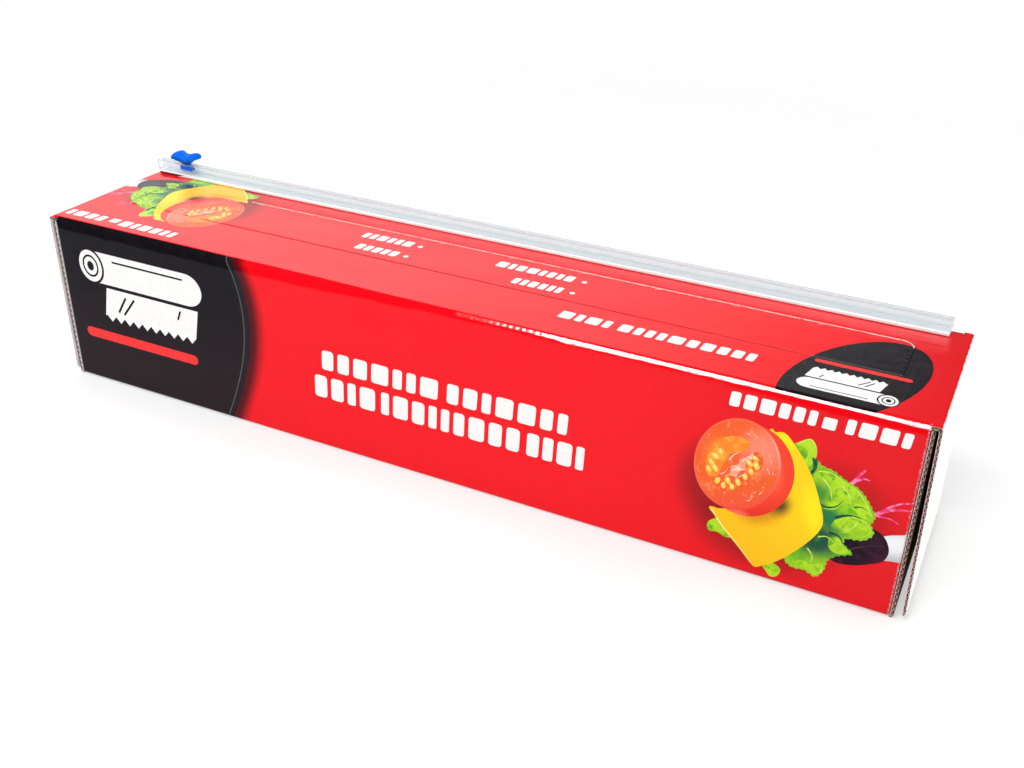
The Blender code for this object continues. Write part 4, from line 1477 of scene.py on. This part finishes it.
def ribbon(name, path, materials, hand, flare=0.0):
    """Fluted board along a path in x and z; its cut edges face +Y and -Y.
    path holds (x, z, normal x, normal z) with the normal pointing outward;
    hand is 1 on the right, -1 mirrors it to the left."""
    verts, faces, slots = [], [], []
    half = BOARD / 2
    lengths = [0.0]
    for start, end in zip(path, path[1:]):
        lengths.append(lengths[-1] + hypot(end[0] - start[0], end[1] - start[1]))

    def offset(distance):
        return [(x + normal_x * distance, z + normal_z * distance)
                for x, z, normal_x, normal_z in path]

    def wavy(shift):
        height = half - LINER - 0.085
        points = []
        for (x, z, normal_x, normal_z), length in zip(path, lengths):
            wave = height * sin(2 * pi * length / FLUTE) + shift
            points.append((x + normal_x * wave, z + normal_z * wave))
        return points

    add_layer(offset(half), offset(half - LINER), -FLAP_Y, FLAP_Y, 0, verts, faces, slots)
    add_layer(offset(-half + LINER), offset(-half), -FLAP_Y, FLAP_Y, 1, verts, faces, slots)
    add_layer(wavy(MEDIUM_HALF), wavy(-MEDIUM_HALF), -FLAP_Y + 0.12, FLAP_Y - 0.12, 2,
              verts, faces, slots)
    placed = []
    for vert in verts:
        x, z = tilt(vert.x / MM - HINGE_X, vert.z / MM - TOP_Z, flare)
        placed.append(mm_point(hand * x, vert.y / MM, z))
    return mesh_object(name, placed, faces, materials, slots)


def end_crease(tag, hand, flare):
    """Slightly crushed quarter round from the top into an outer end flap."""
    def corner(along, y, depth):
        angle = along / END_R
        share = along / END_LEN
        crush = 0.10 * sin(pi * share) * (1.0 + 0.5 * sin(y / 2.9) + 0.4 * sin(y * 1.7 + 1.0))
        radius = END_R - depth - crush
        x, z = tilt(END_X + radius * sin(angle) - HINGE_X, -END_R + radius * cos(angle),
                    flare * share)
        return (hand * x, y, z)

    guides = [((END_LEN * k / 6, -FLAP_Y), (END_LEN * k / 6, FLAP_Y)) for k in range(7)]
    for k in range(1, 90):
        y = -FLAP_Y + 2 * FLAP_Y * k / 90
        guides.append(((0, y), (END_LEN, y)))
    strip = sheet(tag + "_end_crease", rect(0, -FLAP_Y, END_LEN, FLAP_Y),
                  [Region(rect(-1, -50, END_LEN * 0.62, 50), top_red)], plain_face, corner,
                  guides=guides, thick=0.35)
    hand * END_X * MM
    hand * HINGE_X * MM
    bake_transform(strip)


def outer_path():
    """Straight down from the top's end crease."""
    count = int((TOP_Z - END_R - 2.0) / PATH_STEP) + 1
    return [(HINGE_X - BOARD / 2, TOP_Z - END_R - PATH_STEP * k, 1.0, 0.0)
            for k in range(count)]


def inner_path():
    """Round from the base and straight up."""
    radius = TUCK_R - BOARD / 2
    path = []
    for k in range(9):
        angle = radians(-90 + 90 * k / 8)
        path.append((BASE_X + radius * cos(angle), TUCK_R + radius * sin(angle),
                     cos(angle), sin(angle)))
    z = TUCK_R + PATH_STEP
    while z < 92.8:
        path.append((BASE_X + radius, z, 1.0, 0.0))
        z += PATH_STEP
    return path


def build_ends():
    medium = board_material("fluting_paper", (0.74, 0.52, 0.48), rough=0.9, fibre=0.3)
    pink = board_material("recycled_liner", (0.78, 0.58, 0.55), rough=0.85, fibre=0.22)
    # the inner flaps' outer faces are kraft darkened to deep brown: painted shade of the narrow
    # gap between the flaps
    shaded_inner_face = board_material("inner_flap_face_painted_shade", (0.22, 0.145, 0.105), rough=0.9, fibre=0.2)
    # the left end's cut edges take lighter copies of the same papers: painted light
    pale = board_material("liner_painted_lit", (0.88, 0.82, 0.82), rough=0.85, fibre=0.12)
    lit_fluting = board_material("fluting_painted_lit", (0.84, 0.76, 0.76), rough=0.9, fibre=0.15)
    for tag, hand, flare, papers in (("right", 1, FLARE, [pink, medium]),
                                     ("left", -1, 0.0, [pale, lit_fluting])):
        body = tag + "_end"
        flap = ribbon(tag + "_end_flap", outer_path(), [plain_face] + papers, hand, flare)
        attach(flap, body, "printed_board", tag + "_outer_end_flap")
        tuck = ribbon(tag + "_inner_flap", inner_path(), [shaded_inner_face] + papers, hand)
        attach(tuck, "carton", "plain_board", tag + "_inner_end_flap")
        end_crease(tag, hand, flare)


def recolour(node, material):
    """Give a CAD piece that stays as it is its material."""
    materials = frame["nodes"][node].data.materials
    materials.clear()
    materials.append(material)


build_ends()
recolour("glue_flap", kraft)

# --------------------------------------------------------------- cutter track
((TRACK_X0, TRACK_Y0, TRACK_Z0), (TRACK_X1, TRACK_REAR, TRACK_Z1)) = box_mm("cutter_track")
CHANNEL_REAR = TRACK_Y0 + 5.0        # the floor runs on behind it to TRACK_REAR


def round_poly(points, radii, steps):
    """Corners of a polygon rounded, one radius per corner."""
    out = []
    count = len(points)
    for i, radius in enumerate(radii):
        corner = Vector(points[i])
        back = Vector(points[i - 1]) - corner
        ahead = Vector(points[(i + 1) % count]) - corner
        radius = min(radius, 0.45 * back.length, 0.45 * ahead.length)
        back.normalize()
        ahead.normalize()
        if radius < 1e-4 or abs(back.dot(ahead)) > 0.999:
            out.append((corner.x, corner.y))
            continue
        for k in range(steps + 1):
            t = k / steps
            point = corner + back * (radius * (1 - t) ** 2) + ahead * (radius * t ** 2)
            out.append((point.x, point.y))
    return out


def plastic(name, base, rough, vary, coat=0.0, spec=0.5, relief=0.5,
            streak=(0.02, 2.2, 2.2), extra={}):
    """Extruded or moulded plastic with drawn lines, haze and fine scratches.
    streak stretches the lines; the default draws them out along X."""
    surface = Surface(name)
    mm = surface.object_mm()
    lines = mm.stretch(*streak).noise(scale=1.8, detail=3.0, rough=0.6)
    haze = mm.noise(scale=0.25, detail=4.0, rough=0.6)
    scratch = mm.stretch(0.25, 3.0, 3.0).noise(scale=2.6, detail=4.0, rough=0.75)
    light = shade_of(base, 1 + vary)
    colour = surface.mix(lines.ramp((0.35, 0.65)), shade_of(base, 1 - vary), light)
    colour = surface.mix(haze.ramp((0.4, 0.7), to=(0.0, 0.35)), colour, light)
    surface.shade({
        "Base Color": colour,
        "Roughness": scratch.ramp((0.35, 0.72), to=(rough * 0.8, rough * 1.5)),
        "IOR": 1.5, "Coat Weight": coat, "Coat Roughness": 0.06,
        "Specular IOR Level": spec, **extra})
    surface.relief(lines * 0.05 + haze * 0.10 + scratch * 0.01, strength=relief)
    return surface.material


def track_section():
    """Channel section in y and z: floor, two walls with inward lips."""
    floor = TRACK_Z0 + 0.9
    under_lip = TRACK_Z1 - 0.7
    wall, lip = 0.7, 1.6
    # y, z, corner radius
    corners = (
        (TRACK_Y0, TRACK_Z0, 0.12), (TRACK_REAR, TRACK_Z0, 0.3), (TRACK_REAR, floor, 0.35),
        (CHANNEL_REAR + 0.02, floor, 0.0), (CHANNEL_REAR, floor + 0.02, 0.0),
        (CHANNEL_REAR, TRACK_Z1, 0.35), (CHANNEL_REAR - lip, TRACK_Z1, 0.18),
        (CHANNEL_REAR - lip, under_lip, 0.18), (CHANNEL_REAR - wall, under_lip, 0.1),
        (CHANNEL_REAR - wall, floor, 0.1), (TRACK_Y0 + wall, floor, 0.1),
        (TRACK_Y0 + wall, under_lip, 0.1), (TRACK_Y0 + lip, under_lip, 0.18),
        (TRACK_Y0 + lip, TRACK_Z1, 0.18), (TRACK_Y0, TRACK_Z1, 0.35))
    return round_poly([corner[:2] for corner in corners],
                      [corner[2] for corner in corners], 3)


def extrude_x(name, section, x0, x1, steps, materials, sway=None, slot_for=None):
    """A section in y and z drawn out along X; its ends take slot 1.
    sway(x) moves it in y, slot_for(start, end) gives the slot of a side."""
    verts = []
    for k in range(steps + 1):
        x = x0 + (x1 - x0) * k / steps
        shift = sway(x) if sway else 0.0
        verts += [mm_point(x, y + shift, z) for y, z in section]
    around = [slot_for(start, end) if slot_for else 0
              for start, end in zip(section, section[1:] + section[:1])]
    return mesh_object(name, verts, loft_faces(steps + 1, len(section)), materials,
                       around * steps + [1, 1], 35)


def track_slot(start, end):
    """2 on the lips' tops, 3 on the front wall, 0 elsewhere."""
    if min(start[1], end[1]) > TRACK_Z1 - 0.45:
        return 2
    if max(start[0], end[0]) < TRACK_Y0 + 0.78 and max(start[1], end[1]) > TRACK_Z0 + 0.5:
        return 3
    return 0


def build_track():
    body = plastic("track_plastic", (0.84, 0.91, 0.94), rough=0.18, vary=0.02, spec=0.22,
                   relief=0.10, extra={"Alpha": 0.40})
    front = plastic("track_front_wall", (0.35, 0.55, 0.70), rough=0.10, vary=0.02, spec=0.04,
                    relief=0.06, extra={"Alpha": 0.02})
    # lips and cut end: darker, more solid copies of the same clear plastic, painted shade
    lip = plastic("track_lip_shaded", (0.50, 0.60, 0.64), rough=0.20, vary=0.03, coat=0.2,
                  relief=0.10, extra={"Alpha": 0.50})
    cut_end = plastic("track_cut_end_shaded", (0.60, 0.68, 0.72), rough=0.40, vary=0.05,
                      extra={"Alpha": 0.60})
    track = extrude_x("track_channel", track_section(), TRACK_X0, TRACK_X1, 48,
                      [body, cut_end, lip, front], slot_for=track_slot)
    attach(track, "carton", "track_plastic", "cutter_track")


def painted_gap_shade(surface, colour):
    """The first part of the strip's front face is painted the board's red in shade: painted
    shade of the gap under the track's left end, where the real tape starts later."""
    x, y, z = surface.object_mm().split()
    facing = surface.value("NewGeometry", output="Normal").split()[1]
    slanted = x + (z - 96.3) * -3.7
    gap_shade_mask = (slanted.ramp((-213.1, -212.1), to=(1.0, 0.0))
            * facing.ramp((-0.8, -0.5), to=(1.0, 0.0)))
    # painted shade: dark red on the strip's first front face
    return surface.mix(gap_shade_mask, colour, (0.17, 0.010, 0.008))


def build_tape():
    paper = board_material("adhesive_tape_white", (0.93, 0.93, 0.92), rough=0.6, fibre=0.05,
                           overlay=painted_gap_shade)
    (x0, y0, z0), (x1, y1, z1) = box_mm("track_tape")
    tape = extrude_x("track_tape_strip", round_poly(rect(y0, z0, y1, z1), [0.15] * 4, 2),
                     x0, x1, 120, [paper, paper],
                     sway=lambda x: 0.10 * sin(x / 37.0) + 0.05 * sin(x / 11.0))
    attach(tape, "carton", "adhesive_tape", "track_tape")


build_track()
build_tape()

# --------------------------------------------------------------------- slider
SLIDER_X = sum(corner[0] for corner in box_mm("slider_cap")) / 2
SLIDER_Y = TRACK_Y0 + 2.5
FOOT_BOTTOM = box_mm("slider_shoe")[0][2]
FOOT_TOP = TRACK_Z1 - 1.0
GRIP_SIDES = 40
NECK_SIDES = 28

# half of the grip: x from its middle, half width, low and high z above the
# track, share of the width kept at the bottom
GRIP_STATIONS = [
    (7.7, 2.8, 4.15, 4.65, 1.0), (7.65, 3.8, 3.85, 5.15, 1.0), (7.4, 4.6, 3.6, 5.7, 1.0),
    (6.8, 5.3, 3.3, 6.4, 1.0), (5.8, 5.5, 3.2, 6.9, 1.0), (4.8, 5.4, 3.0, 6.9, 0.90),
    (3.9, 5.1, 2.2, 6.7, 0.60), (3.1, 4.8, 1.1, 6.4, 0.50), (2.4, 4.6, 0.5, 6.2, 0.50),
    (1.2, 4.4, 0.4, 6.0, 0.50), (0.0, 4.3, 0.4, 5.9, 0.50)]

# waisted neck from the foot up into the grip: z, half length, half width
NECK_STATIONS = [
    (FOOT_BOTTOM + 1.6, 2.6, 0.44), (FOOT_TOP - 0.2, 2.6, 0.44), (TRACK_Z1 - 0.75, 2.5, 0.6),
    (TRACK_Z1 + 0.1, 2.5, 0.62), (TRACK_Z1 + 0.5, 2.6, 0.75), (TRACK_Z1 + 1.4, 2.9, 1.0),
    (TRACK_Z1 + 2.3, 3.0, 1.1), (TRACK_Z1 + 3.5, 3.0, 1.1)]


def signed_power(value, power):
    return abs(value) ** power * (1 if value >= 0 else -1)


def grip_ring(off_x, half_width, low, high, root):
    ring = []
    middle, half_height = (low + high) / 2, (high - low) / 2
    for k in range(GRIP_SIDES):
        angle = 2 * pi * k / GRIP_SIDES
        y = half_width * signed_power(cos(angle), 0.62)
        z = half_height * signed_power(sin(angle), 0.72)
        droop = 0.55 * (abs(y) / max(half_width, 0.01)) ** 2
        rise = min(1.0, (middle + z - low) / max(3.4 - low, 0.1))
        ring.append(mm_point(SLIDER_X + off_x,
                             SLIDER_Y + y * (root + (1.0 - root) * rise ** 2),
                             TRACK_Z1 + (middle + z - droop)))
    return ring


def build_grip(blue):
    stations = [(-x, *rest) for x, *rest in GRIP_STATIONS] + GRIP_STATIONS[-2::-1]
    rings = [grip_ring(*station) for station in spline(stations, 3)]
    grip = mesh_object("slider_grip", sum(rings, []), loft_faces(len(rings), GRIP_SIDES),
                       [blue], smooth_angle=60)
    attach(grip, "slider", "slider_plastic", "slider_cap")


def build_neck(blue):
    verts = []
    for z, half_x, half_y in NECK_STATIONS:
        for k in range(NECK_SIDES):
            angle = 2 * pi * k / NECK_SIDES
            verts.append(mm_point(SLIDER_X + half_x * signed_power(cos(angle), 0.5),
                                  SLIDER_Y + half_y * signed_power(sin(angle), 0.5), z))
    neck = mesh_object("slider_neck", verts, loft_faces(len(NECK_STATIONS), NECK_SIDES),
                       [blue], smooth_angle=50)
    attach(neck, "slider", "slider_plastic")


def soft_box(name, spans, bevel, material):
    """Box over (low, high) spans in x, y and z, with rounded edges."""
    bm = bmesh.new()
    bmesh.ops.create_cube(bm, size=1.0)
    for vert in bm.verts:
        vert.co = mm_point(*((low + high) / 2 + unit * (high - low)
                             for unit, (low, high) in zip(vert.co, spans)))
    bmesh.ops.bevel(bm, geom=list(bm.edges), offset=bevel * MM, segments=3, profile=0.5,
                    affect='EDGES')
    mesh = bpy.data.meshes.new(name)
    bm.to_mesh(mesh)
    bm.free()
    mesh.materials.append(material)
    set_smooth(mesh, 50)
    return link_object(name, mesh)


def build_feet():
    """Two bars inside the channel, in front of and behind the blade, in blue plastic that glows
    faintly: painted light.
    """
    # the blue glows though it is no lamp: painted light that keeps the feet bright inside the
    # shaded channel
    blue = plastic("slider_foot_blue_glowing", (0.0, 0.120, 0.75), rough=0.36, vary=0.10, spec=0.05,
                   relief=0.25, streak=(1.0, 1.0, 1.0),
                   extra={"Emission Color": (0.0, 0.09, 0.65), "Emission Strength": 0.30})
    for tag, near, far, replaced in (("front", -1.5, -0.45, ["slider_shoe"]),
                                     ("rear", 0.45, 1.5, [])):
        foot = soft_box("slider_foot_" + tag,
                        ((SLIDER_X - 4.2, SLIDER_X + 4.2), (SLIDER_Y + near, SLIDER_Y + far),
                         (FOOT_TOP - 2.6, FOOT_TOP)), bevel=0.3, material=blue)
        attach(foot, "slider", "slider_plastic", *replaced)


def blade_steel():
    """Brushed steel."""
    surface = Surface("blade_steel")
    base = (0.72, 0.73, 0.75)
    brushed = surface.object_mm().stretch(6.0, 1.0, 0.4).noise(
        scale=2.2, detail=4.0, rough=0.7)
    surface.shade({
        "Base Color": surface.mix(brushed.ramp((0.3, 0.7)), shade_of(base, 0.8), base),
        "Metallic": 1.0,
        "Roughness": brushed.ramp((0.3, 0.7), to=(0.18, 0.33))})
    surface.relief(brushed * 0.02, strength=0.3)
    return surface.material


slider_blue = plastic("slider_blue", (0.0, 0.125, 0.70), rough=0.36, vary=0.12, spec=0.05,
                      relief=0.25, streak=(1.0, 1.0, 1.0))
build_grip(slider_blue)
build_feet()
build_neck(slider_blue)
recolour("slider_blade", blade_steel())

# -------------------------------------------------------------- roll and core
ROLL_Z = joint_mm("roll_spin", 2)
roll_low, roll_high = box_mm("film_roll")
core_low, core_high = box_mm("core_tube")
ROLL_X, ROLL_R = roll_high[0], (roll_high[1] - roll_low[1]) / 2
CORE_X, CORE_R = core_high[0], (core_high[1] - core_low[1]) / 2
SKIN_STEPS = 30


def about_axis(mm):
    """x, and y and z measured from the roll's axis."""
    x, y, z = mm.split()
    return x, y, z - ROLL_Z


def film_skin():
    """Wound clear film: milky, glossy, with pulled bands round the roll and
    a few soft wrinkles."""
    surface = Surface("film_skin")
    mm = surface.object_mm()
    band = mm.stretch(1.0, 0.04, 0.04).noise(scale=0.09, detail=4.0, rough=0.6)
    fine = mm.stretch(1.0, 0.03, 0.03).noise(scale=0.9, detail=3.0, rough=0.6)
    wrinkle = mm.stretch(0.35, 1.0, 1.0).noise(scale=0.12, detail=4.0, rough=0.55,
                                               distort=1.0)
    colour = surface.mix(band.ramp((0.35, 0.65)), (0.62, 0.66, 0.68), (0.84, 0.87, 0.88))
    colour = surface.mix(fine.ramp((0.45, 0.7), to=(0.0, 0.5)), colour, (0.90, 0.92, 0.93))
    surface.shade({
        "Base Color": colour,
        "Roughness": wrinkle.ramp((0.3, 0.7), to=(0.07, 0.22)),
        "Coat Weight": 0.8, "Coat Roughness": 0.05,
        "Subsurface Weight": 0.15, "Subsurface Radius": (0.004, 0.004, 0.004)})
    surface.relief(band * 0.5 + wrinkle * 0.35 + fine * 0.04, strength=0.5,
                   sockets=("Normal", "Coat Normal"))
    return surface.material


def film_layers():
    """Cut end of the wound film: fine layer rings."""
    surface = Surface("film_layers")
    x, y, z = about_axis(surface.object_mm())
    radius = (z * z + y * y).root()
    polar = surface.combine(radius, z.math('ARCTAN2', y) * 0.5)
    rings = polar.noise(scale=2.4, detail=5.0, rough=0.7)
    wide = polar.noise(scale=0.35, detail=3.0, rough=0.6)
    colour = surface.mix(rings.ramp((0.35, 0.65)), (0.50, 0.57, 0.60), (0.82, 0.87, 0.88))
    colour = surface.mix(wide.ramp((0.4, 0.65), to=(0.0, 0.5)), colour, (0.62, 0.70, 0.72))
    surface.shade({"Base Color": colour,
                   "Roughness": rings.ramp((0.3, 0.7), to=(0.25, 0.5))})
    surface.relief(rings * 0.15, strength=0.6)
    return surface.material


def core_paper(name, spiral):
    """Core paper: a spiral seam on the faces, or plies on the cut ends."""
    surface = Surface(name)
    mm = surface.object_mm()
    x, y, z = about_axis(mm)
    fibre = mm.stretch(0.6, 2.0, 2.0).noise(scale=1.4, detail=5.0, rough=0.7)
    colour = surface.mix(fibre.ramp((0.3, 0.7)), (0.40, 0.30, 0.20), (0.60, 0.48, 0.35))
    if spiral:
        turns = z.math('ARCTAN2', y) / (2 * pi) + x / 62.0
        seam = abs(turns.math('FRACT') - 0.5).ramp((0.470, 0.492))
        colour = surface.mix(seam * 0.7, colour, (0.22, 0.15, 0.09))
        height = fibre * 0.08 - seam * 0.25
    else:
        ply = ((z * z + y * y).root() * (2 * pi / 0.38)).sine()
        colour = surface.mix(ply.ramp((-0.2, 0.9), to=(0.0, 0.55)), colour,
                             (0.24, 0.17, 0.10))
        height = ply * 0.08
    surface.shade({"Base Color": colour,
                   "Roughness": fibre.ramp((0.3, 0.7), to=(0.78, 0.92))})
    surface.relief(height, strength=0.7)
    return surface.material


def lathe(name, rows, materials, slots, spiral=0.0):
    """Closed turned shape about the roll axis: rows of (x, radius), joined
    last to first.  slots gives the material of each band between rows;
    spiral is the step the film's skin makes in one turn."""
    segments = 144
    verts, faces = [], []
    count = len(rows)
    for k in range(segments):
        angle = 2 * pi * k / segments
        inset = spiral * (1 - k / (segments - 1))
        for x, radius in rows:
            if radius > 0.9 * ROLL_R:
                radius -= inset
            verts.append(mm_point(x, radius * cos(angle), ROLL_Z + radius * sin(angle)))
    for k in range(segments):
        m = (k + 1) % segments
        for i in range(count):
            j = (i + 1) % count
            faces.append([k * count + i, k * count + j, m * count + j, m * count + i])
    return mesh_object(name, verts, faces, materials, slots * segments)


def build_roll():
    bore = CORE_R + 0.3
    # left end from the bore out to the skin: x, radius
    left = [(-ROLL_X, bore), (-ROLL_X + 0.10, bore + 5.0), (-ROLL_X + 0.35, bore + 9.0),
            (-ROLL_X + 0.05, bore + 14.0), (-ROLL_X + 0.25, ROLL_R - 3.0),
            (-ROLL_X + 0.10, ROLL_R - 0.9), (-ROLL_X + 0.45, ROLL_R - 0.25),
            (-ROLL_X + 1.3, ROLL_R - 0.05)]
    skin = [(-ROLL_X + 1.3 + (2 * ROLL_X - 2.6) * k / SKIN_STEPS,
             ROLL_R - 0.05 - 0.06 * (1 + sin(k * 1.7)) * 0.5)
            for k in range(1, SKIN_STEPS)]
    rows = left + skin + [(-x, radius) for x, radius in reversed(left)]
    # bands: left end, rounded rims and skin, right end and bore
    slots = [1] * 5 + [0] * (2 + SKIN_STEPS + 2) + [1] * 6
    roll = lathe("wound_film", rows, [film_skin(), film_layers()], slots, spiral=0.18)
    attach(roll, "roll", "film", "film_roll")


def build_core():
    rows = [(-CORE_X, CORE_R - 1.5), (-CORE_X, CORE_R - 0.15), (-CORE_X + 0.15, CORE_R),
            (0.0, CORE_R), (CORE_X - 0.15, CORE_R), (CORE_X, CORE_R - 0.15),
            (CORE_X, CORE_R - 1.5)]
    core = lathe("paper_core", rows,
                 [core_paper("core_face", spiral=True), core_paper("core_ply", spiral=False)],
                 [1, 1, 0, 0, 1, 1, 0])
    attach(core, "roll", "core_paper", "core_tube")


build_roll()
build_core()

# ------------------------------------------------------------ stage and light
FLOOR_HALF, FLOOR_Z = 12.0, -0.0004  # metres
FLOOR_MIRRORED = (0.125, 0.125, 0.145)          # the floor as shiny faces see it


def floor_white():
    """White paper sweep that fades into the white room."""
    surface = Surface("floor_white")
    mm = surface.object_mm()
    glossy = surface.value("LightPath", output="Is Glossy Ray")
    pale = surface.mix(mm.noise(scale=0.01), (0.90, 0.90, 0.90), (0.92, 0.92, 0.92))
    surface.shade({"Base Color": surface.mix(glossy, pale, FLOOR_MIRRORED),
                   "Roughness": 0.75, "Specular IOR Level": 0.2})
    x, y, z = mm.split()
    far = (x * x + y * y).root().ramp((330.0, 1050.0), to=(0.42, 1.0))
    glow = surface.value("Emission", {
        "Color": surface.mix(glossy, (1.0, 1.0, 1.0), FLOOR_MIRRORED)})
    blend = surface.value("MixShader", {
        0: far, 1: Field(surface, surface.bsdf.outputs[0]), 2: glow})
    surface.set(surface.tree.nodes["Material Output"], {"Surface": blend})
    return surface.material


def build_floor():
    mesh = bpy.data.meshes.new("floor")
    corners = rect(-FLOOR_HALF, -FLOOR_HALF, FLOOR_HALF, FLOOR_HALF)
    mesh.from_pydata([(x, y, FLOOR_Z) for x, y in corners], [], [(0, 1, 2, 3)])
    mesh.materials.append(floor_white())
    link_object("floor", mesh)


def build_world():
    """White to the camera, even for diffuse light; shiny faces see it bright
    towards the back left and dim elsewhere."""
    world = bpy.data.worlds.new("studio")
    scene.world = world
    world.use_nodes = True
    graph = Graph(world.node_tree)
    x, y, z = graph.value("TexCoord", output="Generated").split()
    rays = graph.node("LightPath", {})
    glow = (x * -0.75 + y * 0.65).ramp((0.55, 1.0), to=(0.06, 0.97))
    mirrored = glow * z.ramp((0.02, 0.5), to=(0.55, 1.0))

    def switch(ray, otherwise, seen):
        factor = Field(graph, rays.outputs[ray])
        return graph.value("Mix", {"Factor": factor, 2: otherwise, 3: seen},
                           data_type='FLOAT')

    level = switch("Is Glossy Ray", otherwise=0.62, seen=mirrored)
    graph.set(graph.tree.nodes["Background"], {
        "Color": (1, 1, 1),
        "Strength": switch("Is Camera Ray", otherwise=level, seen=1.0)})


def area(name, location, target, size, watts):
    """Rectangular light; places and (width, height) in metres."""
    light = bpy.data.lights.new(name, 'AREA')
    light.shape = 'RECTANGLE'
    light.size, light.size_y = size
    light.energy = watts
    obj = bpy.data.objects.new(name, light)
    obj.location = location
    aim = Vector(target) - Vector(location)
    obj.rotation_euler = aim.to_track_quat('-Z', 'Y').to_euler()
    scene.collection.objects.link(obj)


def build_camera():
    data = bpy.data.cameras.new("view")
    data.sensor_width = 36.0
    data.lens = 40.29
    data.clip_start = 0.01
    camera = bpy.data.objects.new("view", data)
    scene.collection.objects.link(camera)
    # the camera's own axes in the world, and its place in metres
    right = (0.89376418, 0.44817885, 0.01792499)
    up = (-0.23223859, 0.42820427, 0.8733306)
    back = (0.38373275, -0.78471449, 0.48679806)
    pose = Matrix((right, up, back)).transposed().to_4x4()
    pose.translation = (0.249538, -0.459123, 0.321723)
    camera.matrix_world = pose
    scene.camera = camera


scene = bpy.context.scene
build_floor()
scene.view_settings.view_transform = 'Standard'
scene.view_settings.look = 'None'
scene.view_settings.exposure = 0.0
scene.view_settings.gamma = 1.0
build_world()
area("key_above_front", location=(-0.13, -0.66, 1.20), target=(-0.10, -0.46, 0.0),
     size=(0.66, 0.34), watts=9.5)
area("soft_above", location=(-0.3, 0.45, 1.9), target=(-0.1, 0.1, 0.05),
     size=(2.4, 1.0), watts=9.0)
area("fill_left", location=(-1.6, -0.9, 0.8), target=(-0.1, 0, 0.05),
     size=(1.0, 1.0), watts=9.0)
area("fill_right", location=(1.5, 0.25, 0.35), target=(0.235, 0, 0.05),
     size=(0.8, 0.5), watts=9.0)
build_camera()
